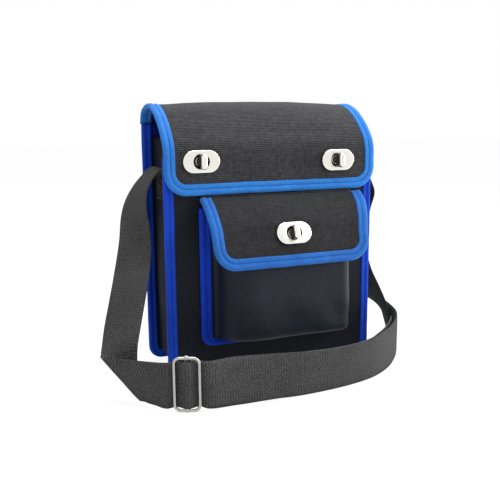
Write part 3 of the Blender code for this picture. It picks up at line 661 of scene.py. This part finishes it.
flap("main_flap", Bent(MAIN_PROFILE), MAIN_FLAP_HALF, 0.0, MAIN_LOCKS, seed=2.0, swell=0.0006,
     crown=0.0034, cloth=FLAP_TOP, binding=BLUE_FRONT_PAINTED_LIGHT)
flare = (POCKET_FLAP_CENTRE, POCKET_FLAP_HALF, 0.0020, 0.0085, 0.055)
flap("pocket_flap", Bent(POCKET_FLAP_PROFILE, flare), POCKET_FLAP_HALF, POCKET_FLAP_CENTRE,
     (POCKET_LOCK[::2],), seed=9.0, swell=0.0006, crown=0.0003, cloth=POCKET_FLAP_PAINTED_SHADE, binding=BLUE_SMALL_PAINTED_LIGHT)


def skin(name, outer, inner, uvs, materials, node):
    """A closed skin of body cloth, from an outer and an inner grid of points of the same size."""
    points = [p for grid in (outer, inner) for row in grid for p in row]
    flat_uvs = [p for row in uvs for p in row] * 2
    faces, face_slots = sheet_faces(grid_faces(len(outer), len(outer[0])), len(points) // 2)
    piece(name, points, faces, flat_uvs, materials, "bag", (node,), face_slots)


def panel(node, half, centre, top, floor, radius, near, far, dent, seed, materials):
    """A flat panel of cloth from y near to y far, with soft dents that fade out at its seams."""
    cell = 0.004
    rows, columns = int((top - floor) / cell), int(2 * half / cell)
    outer, inner, uvs = [], [], []
    for r in range(rows + 1):
        z = top - (top - floor) * r / rows
        inset = corner_inset(floor + radius - z, radius)
        places = []
        for c in range(columns + 1):
            x = centre + (2 * c / columns - 1) * (half - inset)
            fade = ramp(min(half - abs(x - centre), z - floor), 0.010, 0.030)
            move = dent * fade * (wobble(x, z, 22.0, seed) + 0.5 * wobble(x, z, 60.0, seed + 2))
            places.append((x, move))
        outer.append([(x, near + move, z) for x, move in places])
        inner.append([(x, far + move, z) for x, move in places])
        uvs.append([(x, z) for x, move in places])
    skin(node + "_cloth", outer, inner, uvs, materials, node)


panel("front_panel", BODY_HALF, 0.0, FRONT_TOP, BODY_FLOOR, BODY_CORNER, 0.0, CLOTH,
      dent=0.00022, seed=4.0, materials=(BODY, BODY_IN))
panel("back_panel", BODY_HALF, 0.0, BACK_TOP, BODY_FLOOR, BODY_CORNER, BODY_DEPTH, BODY_DEPTH - CLOTH,
      dent=0.0007, seed=14.0, materials=(BODY, LINING))
panel("pocket_back", POCKET_HALF, POCKET_CENTRE, POCKET_TOP, POCKET_FLOOR, POCKET_CORNER,
      POCKET_BACK_Y - CLOTH, POCKET_BACK_Y, dent=0.00012, seed=24.0, materials=(BODY, BODY_IN))


def gusset():
    """One strip round the sides and bottom, its edges turned outward under the tape, soft between seams."""
    front, back = CLOTH + GAP, BODY_DEPTH - CLOTH - GAP
    half = CLOTH / 2
    turned, rounding = 0.0095, 0.0010
    slant_start = 0.2000
    path = edge_path(-GUSSET_HALF, GUSSET_HALF, GUSSET_TOP, GUSSET_FLOOR, GUSSET_CORNER, 0.005)
    section = [(n, front + half) for n in (turned, turned * 0.5, half)]
    section += [(-half, y) for y in np.linspace(front + rounding, back - rounding, 20)]
    section += [(n, back - half) for n in (half, turned * 0.5, turned)]
    section = np.array(section)
    run = distances([(u, v) for u, v, nu, nv in path])
    outer, inner, uvs = [], [], []
    for k, (u, v, nu, nv) in enumerate(path):
        rows = ([], [])
        for i, (n, y) in enumerate(section):
            travel = section[min(i + 1, len(section) - 1)] - section[max(i - 1, 0)]
            travel /= np.linalg.norm(travel)
            depth = ramp(y, front, back)
            soft = math.sin(math.pi * depth) if 2 < i < len(section) - 3 else 0.0
            soft *= ramp(v, 0.016, 0.066) * (1 - ramp(v, 0.130, 0.160))
            swell = soft * (0.0030 + 0.0011 * wobble(run[k], y, 26.0, 3.0)) if nu else 0.0
            top = FRONT_TOP + (GUSSET_BACK_TOP - FRONT_TOP) * ramp(y, 0.0027, 0.0120)
            z = v
            if k in (0, len(path) - 1):
                z = top + 0.0014 * max(depth - 0.15, 0)
            elif v > slant_start:
                z = slant_start + (v - slant_start) * (top - slant_start) / (GUSSET_TOP - slant_start)
            for row, side in zip(rows, (half, -half)):
                out = n + side * travel[1] + swell
                row.append((u + out * nu, y - side * travel[0], z + out * nv))
        outer.append(rows[0])
        inner.append(rows[1])
        uvs.append([(y, run[k]) for n, y in section])
    skin("gusset_cloth", outer, inner, uvs, (SIDE_CLOTH_PAINTED_SHADE, BODY_IN), "gusset")


gusset()


def seam_tape(name, face, sense, top, node, seed):
    """Tape over a panel's seam. w runs outward from the panel's face."""
    def place(u, v, w):
        return (u, face - sense * w, v)
    path = edge_path(-BODY_HALF, BODY_HALF, top, BODY_FLOOR, BODY_CORNER, 0.003)
    low_face = -(2 * CLOTH + 2 * GAP)
    section = tape_section(GAP - 0.0001, low_face + 0.0001, SEAM_REACH, SEAM_LINE, 0.0009)
    above_ground = [(min(n, BODY_FLOOR), w) for n, w in section]
    grooves = ((GAP + 0.00030, 1.0),)
    sewn_tape(name, place, path, above_ground, SEAM_LINE, grooves, BLUE, "bag", node, seed)


seam_tape("front_seam_tape", 0.0, 1.0, FRONT_TOP, "front_binding", 31.0)
seam_tape("back_seam_tape", BODY_DEPTH, -1.0, BACK_TAPE_TOP, "back_binding", 37.0)


def pocket_tape():
    """Tape round the pocket's backing cloth. w runs outward from the middle of that cloth."""
    def place(u, v, w):
        return (u, POCKET_BACK_Y - CLOTH / 2 - w, v)
    left, right = POCKET_CENTRE - POCKET_HALF, POCKET_CENTRE + POCKET_HALF
    path = edge_path(left, right, POCKET_TOP, POCKET_FLOOR, POCKET_CORNER, 0.003)
    face = 0.0008
    section = tape_section(face, -face, POCKET_REACH, FLAP_LINE, 0.0009)
    grooves = ((face + 0.00040, 1.0),)
    sewn_tape("pocket_tape", place, path, section, FLAP_LINE, grooves, BLUE_POCKET, "bag",
              "pocket_binding", 43.0)


pocket_tape()


def pocket_level(y, z, left, right, inset):
    """One level round the pocket's shell, whose corners are rounder at the left than at the right."""
    deep = max(POCKET_ROOT - y, 0.0)
    lean = 0.0050 * deep / POCKET_DEPTH
    sides = []
    for edge, way, radius, count in ((left, 1, 0.0280, 12), (right, -1, 0.0110, 8)):
        radius -= inset
        rise = min(radius, 0.9 * deep)
        side = [(edge, POCKET_ROOT, z), (edge + way * lean * 0.5, POCKET_ROOT - (deep - rise) * 0.5, z)]
        for angle in np.linspace(0.0, math.pi / 2, count):
            x = edge + way * (lean + radius - radius * math.cos(angle))
            side.append((x, y + rise - rise * math.sin(angle), z))
        sides.append(side)
    across = np.linspace(sides[0][-1][0], sides[1][-1][0], 46)[1:-1]
    return sides[0] + [(x, y, z) for x in across] + sides[1][::-1]


def pocket_slack(x, y, z):
    """How far the pocket's cloth swells out: a low belly, soft folds and slanting slack."""
    deep = (POCKET_ROOT - y) / POCKET_DEPTH
    if deep < 0.15:
        return 0.0
    middle = max(0.0, 1.0 - abs(x - POCKET_FLAP_CENTRE) / 0.066)
    belly = 0.0022 * math.sqrt(middle) * ramp(z, 0.040, 0.070)
    folds = 0.0016 * wobble(x, z * 0.6, 24.0, 5.0) + 0.0009 * wobble(x, z, 60.0, 8.0)
    slack = 0.0010 * math.sin((x + 0.6 * z) * 130.0) * max(0.0, 1.0 - abs(z - 0.062) / 0.03)
    return min(deep, 1.0) * (1 - ramp(z, 0.080, 0.110)) * (belly + folds + slack)


def pocket_body():
    """The pocket as one soft shell with rounded corners and a slack front."""
    line = smooth_line(POCKET_PROFILE, 3)
    slope = np.gradient(line, axis=0)
    slope /= np.linalg.norm(slope, axis=1)[:, None]
    inside = line + np.column_stack([-slope[:, 1], slope[:, 0]]) * CLOTH
    inside[0, 1] = line[0, 1]
    inside[-1, 0] = POCKET_ROOT
    left = POCKET_CENTRE - POCKET_HALF + POCKET_REACH - CLOTH / 2
    right = POCKET_CENTRE + POCKET_HALF - POCKET_REACH + CLOTH / 2
    outer = np.array([pocket_level(y, z, left, right, 0.0) for y, z in line])
    inner = np.array([pocket_level(y, z, left + CLOTH, right - CLOTH, CLOTH) for y, z in inside])
    uvs = [[(along, down) for along in distances(row)] for row, down in zip(outer, distances(line))]
    slack = np.array([[pocket_slack(*place) for place in row] for row in outer])
    outer[:, :, 1] -= slack
    inner[:, :, 1] -= slack
    skin("pocket_shell", outer, inner, uvs, (POCKET_CLOTH_PAINTED_LIGHT, BODY_IN), "pocket_body")


pocket_body()


def strip():
    """The sewn strip that holds the pocket flap."""
    top, low, face, puff = 0.1710, 0.1640, -0.0037, 0.0004
    across = np.linspace(POCKET_FLAP_CENTRE - POCKET_FLAP_HALF, POCKET_FLAP_CENTRE + POCKET_FLAP_HALF, 60)
    levels = np.linspace(top, low, 6)
    puffs = [puff * math.sin(math.pi * (z - low) / (top - low)) for z in levels]
    outer = [[(x, face - out, z) for x in across] for z, out in zip(levels, puffs)]
    inner = [[(x, -GAP, z) for x in across] for z in levels]
    uvs = [[(x, z) for x in across] for z in levels]
    skin("pocket_flap_strip", outer, inner, uvs, (FLAP_TOP, FLAP_TOP), "pocket_flap_seam")


strip()

# The strap's stations in millimetres: its far or upper edge, then its near or lower edge.
STRAP_LEFT = (
    (-95.55, 57, 165, -95.55, 17, 165),
    (-95.55, 57, 178, -95.55, 17, 178),
    (-95.55, 57, 188.5, -95.55, 17, 188.5),
    (-96.4, 57, 192.5, -96.4, 17, 192.5),
    (-99, 57, 194.8, -99, 17, 194.8),
    (-103.6, 57, 193.2, -103.6, 17, 193.2),
    (-110.5, 57, 186.5, -109.5, 17, 186.5),
    (-119.2, 57, 176.5, -115, 17, 175.5),
    (-127.5, 57, 162, -116.5, 17, 160.5),
    (-131.8, 56, 147, -114.5, 17.2, 147),
    (-135.2, 50, 128.5, -113.6, 15.8, 129),
    (-141.5, 38, 110, -116.9, 8, 112.5),
    (-148.2, 26, 92, -122.2, -2, 96),
    (-154.7, 16.5, 73.5, -127.8, -9.5, 78.5),
    (-160.5, 6.5, 59, -133.5, -16.5, 61),
    (-164.5, -3.5, 49, -138.5, -24, 45),
    (-166.8, -10.5, 45, -140, -28.2, 27),
    (-168.2, -14.8, 43, -139.6, -30, 13),
)
LEFT_FOLD = (-169.3, -19.5, 41.8, -139.8, -33.8, 2.6)
RIGHT_FOLD = (153.5, 52.3, 41.8, 145.5, 14.3, 2.6)
FOLD_SETTLE = (
    (-165.5, -23.6, 41.2, -137.6, -38.5, 2.6),
    (-154.5, -32.8, 40.8, -134.5, -44, 2.5),
    (-142, -43.4, 41.1, -130, -50.6, 2.4),
)
RUN_AFTER = (
    (-70.5, -69.5, 42.7, -70.5, -73.5, 2.8),
    (-42, -71.2, 41.8, -42, -74.3, 1.9),
    (-9, -75.2, 40.7, -9, -74.8, 0.7),
    (21, -77.8, 39.9, 22, -72.2, 0.2),
    (47, -75.2, 39.7, 48, -68.4, 0.2),
    (69, -67.2, 39.9, 71, -62, 0.2),
    (86, -56, 40.1, 88, -53.5, 0.2),
    (103, -42.7, 40.1, 104.5, -41.8, 0.2),
    (121, -25.2, 40.1, 121.5, -25, 0.2),
    (131.5, -13, 40.1, 131.2, -13.6, 0.2),
)
RUN_RIGHT = (
    (140, 0, 40.2, 138.4, -2.7, 0.2),
    (147, 16, 40.4, 143.2, 5.7, 0.5),
    (151.8, 34.5, 41, 146, 11.2, 1.4),
)
STRAP_RIGHT = (
    (151.2, 53.2, 42.4, 143.3, 15.2, 12),
    (147, 56, 42.5, 143, 16.5, 25),
    (138.5, 60.5, 44, 141.5, 21, 43),
    (128, 62.5, 56.5, 133, 22.8, 63),
    (117.5, 62, 79, 122, 22.5, 84),
    (113.5, 60, 103.5, 114.5, 20, 105.5),
    (116, 58, 127.5, 112.5, 18, 128),
    (122, 57, 148, 116, 17, 148),
    (126, 57, 165, 120.5, 17, 164),
    (120, 57, 179, 115.5, 17, 177.5),
    (111.5, 57, 189.5, 110, 17, 189.5),
    (105.2, 57, 196.2, 104.8, 17, 196.2),
    (100, 57, 198, 100, 17, 198),
    (96.8, 57, 195, 96.8, 17, 195),
    (95.55, 57, 188.5, 95.55, 17, 188.5),
    (95.55, 57, 178, 95.55, 17, 178),
    (95.55, 57, 165, 95.55, 17, 165),
)

# Beside the slider's bar, in millimetres: along the strap, outward and the lift off the floor.
WEAVE = (
    (-17.0, -1.0, 2.2), (-9.8, -2.4, 3.2), (-4.4, 1.1, 3.8), (-2.2, 3.4, 3.9), (0.0, 3.8, 3.9),
    (2.2, 3.4, 3.9), (4.4, 1.1, 3.8), (9.8, -2.4, 3.7), (17.0, -1.0, 3.4),
)
RETURN_WEAVE = (
    (3.4, -1.9, 3.6), (5.4, -2.9, 3.6), (7.4, -4.0, 3.4), (10.0, -4.7, 3.0), (17.0, -3.5, 1.2),
)

# In metres: how far the second layer lies in, its tuck at the hidden end, its edges and the folds.
RETURN_INSET = 0.0026
RETURN_TUCK = 0.0030
RETURN_FLOOR = 0.0002
RETURN_TOP = 0.0396
FOLD_RADIUS = 0.00175
SLIDER_TURN = math.radians(-23.0)
SLIDER_ALONG = np.array((math.cos(SLIDER_TURN), math.sin(SLIDER_TURN), 0.0))
SLIDER_OUT = np.array((math.sin(SLIDER_TURN), -math.cos(SLIDER_TURN), 0.0))
SLIDER_MIDDLE = np.array((-0.1080, -0.0674, 0.0))


def in_metres(rows):
    """Rows of two points in millimetres as pairs of points in metres."""
    return [tuple(np.reshape(row, (2, 3)) / 1000) for row in rows]


def by_slider(t, n, z):
    """A place beside the slider: along the strap, outward and up."""
    return SLIDER_MIDDLE + t * SLIDER_ALONG + n * SLIDER_OUT + np.array((0.0, 0.0, z))


def at_slider(weave):
    """Upright stations where the webbing passes the slider's bar."""
    found = []
    for t, n, lift in np.array(weave) / 1000:
        place = by_slider(t, n, lift)
        found.append((place + np.array((0.0, 0.0, WEBBING_WIDTH)), place))
    return found


def fold(row):
    """Stations that turn the webbing back over a slanting crease."""
    upper, lower = np.reshape(row, (2, 3)) / 1000
    flat = np.array((lower[0] - upper[0], lower[1] - upper[1], 0.0))
    flat /= np.linalg.norm(flat)
    back = np.array((-flat[1], flat[0], 0.0))
    over = np.cross(lower - upper, back)
    over /= np.linalg.norm(over)
    found = []
    for turn in np.linspace(0.0, math.pi, 9):
        move = FOLD_RADIUS * (math.cos(turn) * back + math.sin(turn) * over)
        found.append((upper + move, lower + move))
    return found


def ribbon(name, stations, node, highlight_edge):
    """Webbing with rounded selvages; the pattern follows its length. Its selvages can take a pale colour, a
    painted highlight.
    """
    columns = 12
    line = smooth_line([np.concatenate(pair) for pair in stations], 6)
    first, second = line[:, :3], line[:, 3:]
    middle = (first + second) / 2
    normal = np.cross(np.gradient(middle, axis=0), first - second)
    normal /= np.linalg.norm(normal, axis=1)[:, None]
    run = distances(middle)
    thickness = [0.45, 0.9] + [1.0] * (columns - 3) + [0.9, 0.45]
    ring = [(k / columns, WEBBING / 2 * share) for k, share in enumerate(thickness)]
    ring += [(share, -thick) for share, thick in reversed(ring)]
    points, uvs = [], []
    for k in range(len(line)):
        for share, thick in ring:
            ripple = 0.00012 * wobble(run[k], share, 90.0, 51.0)
            points.append(first[k] + (second[k] - first[k]) * share + normal[k] * (thick + ripple))
            uvs.append((run[k], share * WEBBING_WIDTH))
    faces = ring_faces(len(line), len(ring))
    # The second layer's selvages get the pale colour: a painted highlight where its edge catches light.
    edges = (columns, len(ring) - 1) if highlight_edge else ()
    face_slots = [int(i in edges) for k in range(len(line) - 1) for i in range(len(ring))] + [0, 0]
    piece(name, points, faces, uvs, (GREY, EDGE_PAINTED_HIGHLIGHT), "bag", (node,), face_slots)


def strap():
    """The strap, woven through its slider, and the second layer behind its front run."""
    front_run = in_metres(RUN_AFTER)
    stations = in_metres(STRAP_LEFT) + fold(LEFT_FOLD) + in_metres(FOLD_SETTLE) + at_slider(WEAVE)
    stations += front_run + in_metres(RUN_RIGHT) + fold(RIGHT_FOLD) + in_metres(STRAP_RIGHT)
    ribbon("strap_webbing", stations, "shoulder_strap", False)

    way = np.gradient(np.mean(front_run, axis=1)[:, :2], axis=0)
    way /= np.linalg.norm(way, axis=1)[:, None]
    stations = at_slider(RETURN_WEAVE)
    for k, ((upper, lower), (dx, dy)) in enumerate(zip(front_run, way)):
        inset = RETURN_INSET + RETURN_TUCK * ramp(k, 5, 9)
        shift = np.array((-dy * inset, dx * inset, 0.0))
        upper, lower = upper + shift, lower + shift
        upper[2], lower[2] = RETURN_TOP, RETURN_FLOOR
        stations.append((upper, lower))
    ribbon("strap_second_layer", stations, "strap_return", True)


def strap_ends():
    """A stitched box with a cross where each end of the strap is sewn to the gusset."""
    near, far, low, high = 0.0200, 0.0540, 0.1675, 0.1850
    for label, x, out in (("left", -0.09645, -1.0), ("right", 0.09645, 1.0)):
        box = [(x, far, low), (x, near, low), (x, near, high), (x, far, high), (x, far, low)]
        lines = (box, [(x, far, low), (x, near, high)], [(x, near, low), (x, far, high)])
        rows = [(line, [(out, 0.0, 0.0)] * len(line)) for line in lines]
        stitches("strap_end_stitches_" + label, rows, STRAP_STITCH, DARK_THREAD, "bag")


strap()
strap_ends()


def slider():
    """The slider: one bent wire, its middle bar riveted over at the top and bottom."""
    wide, high, bend, wire, out, bar, head = 0.0235, 0.0480, 0.0050, 0.0026, 0.0010, 0.0013, 0.0009
    half_wide, half_high = (wide - wire) / 2, (high - wire) / 2
    sides = 18
    turns = [2 * math.pi * i / sides for i in range(sides)]
    points, uvs = [], []
    for quarter, (a, b) in enumerate(((1, 1), (-1, 1), (-1, -1), (1, -1))):
        for k, angle in enumerate(np.linspace(0.0, math.pi / 2, 11)):
            turned = angle + quarter * math.pi / 2
            across, up = math.cos(turned), math.sin(turned)
            t, z = a * (half_wide - bend) + bend * across, b * (half_high - bend) + bend * up
            for i, turn in enumerate(turns):
                n, w = wire / 2 * math.cos(turn), wire / 2 * math.sin(turn)
                points.append(by_slider(t + n * across, out + w, high / 2 + z + n * up))
                uvs.append(((11 * quarter + k) * 0.003, i * 0.0006))
    faces = ring_faces(len(points) // sides, sides, closed=True)
    piece("slider_wire", points, faces, uvs, (NICKEL_WIRE_PAINTED_SHADE,), "bag", ("strap_slider",))

    rivet = ((-0.0002, 0.0007), (0.0, 0.0014), (0.0006, 0.0019), (0.0018, 0.0019), (0.0031, bar))
    levels = list(rivet) + [(high + head - z, r) for z, r in reversed(rivet)]
    points, uvs = [], []
    for z, r in levels:
        for i, turn in enumerate(turns):
            points.append(by_slider(r * math.cos(turn), out + r * math.sin(turn), z))
            uvs.append((z, i * 0.0006))
    piece("slider_bar", points, ring_faces(len(levels), sides), uvs, (NICKEL_WIRE_PAINTED_SHADE,), "bag", ())


slider()

OVAL_POINTS = 64


def oval(width, height):
    """An outline with two straight sides and round ends, its points at equal angles."""
    long_half, short_half = max(width, height) / 2, min(width, height) / 2
    centre = long_half - short_half
    found = []
    for k in range(OVAL_POINTS):
        angle = 2 * math.pi * k / OVAL_POINTS
        along, across = math.cos(angle), math.sin(angle)
        if width < height:
            along, across = across, along
        reach = centre * abs(along) + math.sqrt(max(short_half ** 2 - (centre * across) ** 2, 0.0))
        if across and abs(short_half / across * along) <= centre:
            reach = short_half / abs(across)
        found.append((reach * math.cos(angle), reach * math.sin(angle)))
    return found


def disc(diameter, level):
    return (diameter, diameter, level)


def rounded(width, height, low, high, radius):
    """Outline loops that go up a side and round over its top edge."""
    loops = [(width, height, low), (width, height, high - radius)]
    for angle in np.linspace(0.0, math.pi / 2, 6)[1:]:
        inset = 2 * radius * (1 - math.cos(angle))
        loops.append((width - inset, height - inset, high - radius + radius * math.sin(angle)))
    return loops


class Lock:
    """A lock's own directions: across, up its plate and out of it."""

    def __init__(self, x, y, z, tilt):
        self.origin = np.array((x, y, z))
        self.up = np.array((0.0, math.sin(tilt), math.cos(tilt)))
        self.out = np.array((0.0, -math.cos(tilt), math.sin(tilt)))

    def at(self, a, b, c):
        return self.origin + np.array((a, 0.0, 0.0)) + b * self.up + c * self.out


def stack(name, lock, loops, body, node, ring=False, dark=()):
    """A piece of oval outlines: width, height and level. dark lists the bands in shaded metal."""
    points, uvs = [], []
    for width, height, level in loops:
        for a, b in oval(width, height):
            points.append(lock.at(a, b, level))
            uvs.append((a, b + level))
    faces = ring_faces(len(loops), OVAL_POINTS, ring)
    face_slots = [int(k // OVAL_POINTS in dark) for k in range(len(faces))]
    piece(name, points, faces, uvs, (NICKEL, NICKEL_DARK), body, (node,), face_slots)


def turn_lock(label, lock, base_start, flap_body):
    """A thick oval plate and its washer on the flap; a ringed post and an upright tab on the bag."""
    flap_face = FLAP_CLOTH / 2 + GAP
    top = flap_face + 0.0026
    loops = rounded(0.0340, 0.0200, flap_face, top, 0.0008)
    loops += [(0.0158, 0.0134, top), (0.0152, 0.0128, top), (0.0145, 0.0121, top - 0.0003)]
    loops += [(0.0142, 0.0118, top - 0.0007), (0.0142, 0.0118, flap_face)]
    walls = (0, 1, len(loops) - 2)
    stack("turn_plate_" + label, lock, loops, flap_body, "lock_plate_" + label, True, walls)

    start = -flap_face if label == "pocket" else -flap_face - GAP
    back = start - 0.0005
    loops = [(0.0300, 0.0170, back), (0.0300, 0.0170, start)]
    loops += [(0.0170, 0.0140, start), (0.0170, 0.0140, back)]
    stack("turn_washer_" + label, lock, loops, flap_body, "lock_washer_" + label, True)

    post_top, foot = top - 0.0010, base_start + 0.0010
    ring_top, ring_floor = base_start + 0.0028, base_start + 0.0022
    loops = [(0.0280, 0.0150, base_start), (0.0280, 0.0150, base_start + 0.0007), (0.0272, 0.0142, foot)]
    loops += [disc(0.0096, foot), disc(0.0092, base_start + 0.0024), disc(0.0088, ring_top)]
    loops += [disc(0.0066, ring_top), disc(0.0062, ring_floor), disc(0.0046, ring_floor)]
    loops.append(disc(0.0046, post_top))
    stack("turn_base_" + label, lock, loops, "bag", "lock_base_" + label, dark=(0, 2, 3, 6, 7, 8))

    tab_start = top + GAP
    tab_high = 0.0072 if label == "pocket" else 0.0086
    loops = [disc(0.0060, post_top + GAP), disc(0.0060, tab_start), (0.0046, 0.0128, tab_start)]
    loops += rounded(0.0054, 0.0134, tab_start + 0.0001, tab_start + tab_high, 0.0016)
    stack("turn_toggle_" + label, lock, loops, "toggle_" + label, "lock_toggle_" + label, dark=(0, 1, 2, 3))


for label, (x, z) in zip(("left", "right"), MAIN_LOCKS):
    turn_lock(label, Lock(x, MAIN_LOCK_Y, z, 0.0), MAIN_LOCK_Y + GAP, "main_flap")
turn_lock("pocket", Lock(*POCKET_LOCK, POCKET_LOCK_TILT), -(FLAP_CLOTH / 2 + CLOTH + 0.0010), "pocket_flap")

# Studio: a pale floor that keeps the shadow, a white surround and soft lamps.
# A lamp has its name, place, aim, size and power.
FLOOR_HALF = 6.0
FLOOR_DROP = 0.0004
WHITE = (1.0, 1.0, 1.0, 1.0)
LAMPS = (
    ("key", (0.75, -0.60, 0.85), (0.0, 0.0, 0.12), 0.6, 7.0),
    ("fill", (-0.75, -0.70, 0.45), (0.0, 0.0, 0.12), 0.8, 0.6),
    ("top", (0.05, 0.10, 1.15), (0.0, 0.0, 0.15), 0.8, 11.0),
    ("side", (1.00, -0.20, 0.22), (0.10, 0.0, 0.05), 0.4, 5.0),
)


def seen_directly(tree):
    """One where the camera sees the surface directly, in metal or through glass, and zero elsewhere."""
    path = new_node(tree, "LightPath")
    share = path.outputs["Is Camera Ray"]
    for name in ("Is Glossy Ray", "Is Transmission Ray"):
        share = new_node(tree, "Math", {0: share, 1: path.outputs[name]}, operation="MAXIMUM").outputs[0]
    return share


def mixed(tree, share, first, second, output):
    mix = new_node(tree, "MixShader", {0: share, 1: first.outputs[0], 2: second.outputs[0]})
    put(tree, tree.nodes[output].inputs["Surface"], mix.outputs[0])


def studio():
    s = FLOOR_HALF
    mesh = bpy.data.meshes.new("floor")
    mesh.from_pydata([(-s, -s, 0), (s, -s, 0), (s, s, 0), (-s, s, 0)], [], [(0, 1, 2, 3)])
    floor = bpy.data.objects.new("floor", mesh)
    floor.location = (0.0, 0.0, -FLOOR_DROP)
    bpy.context.scene.collection.objects.link(floor)
    n = Nodes("floor_white")
    mesh.materials.append(n.surface({
        "Base Color": (0.86, 0.86, 0.86, 1.0), "Roughness": 0.9, "Specular IOR Level": 0.1,
    }))
    white = n.new("Emission", {"Strength": 1.12})
    share = n.times(seen_directly(n.tree), 0.80)
    mixed(n.tree, share, n.tree.nodes["Principled BSDF"], white, "Material Output")

    world = bpy.data.worlds.new("studio")
    bpy.context.scene.world = world
    world.use_nodes = True
    light = world.node_tree.nodes["Background"]
    light.inputs["Color"].default_value = WHITE
    light.inputs["Strength"].default_value = 0.50
    seen = new_node(world.node_tree, "Background", {"Color": WHITE, "Strength": 1.0})
    mixed(world.node_tree, seen_directly(world.node_tree), light, seen, "World Output")

    for name, where, aim, size, power in LAMPS:
        lamp = bpy.data.lights.new(name, "AREA")
        lamp.energy = power
        lamp.size = size
        item = bpy.data.objects.new(name, lamp)
        item.location = where
        item.rotation_euler = (Vector(aim) - Vector(where)).to_track_quat("-Z", "Y").to_euler()
        bpy.context.scene.collection.objects.link(item)


studio()

bpy.context.view_layer.update()
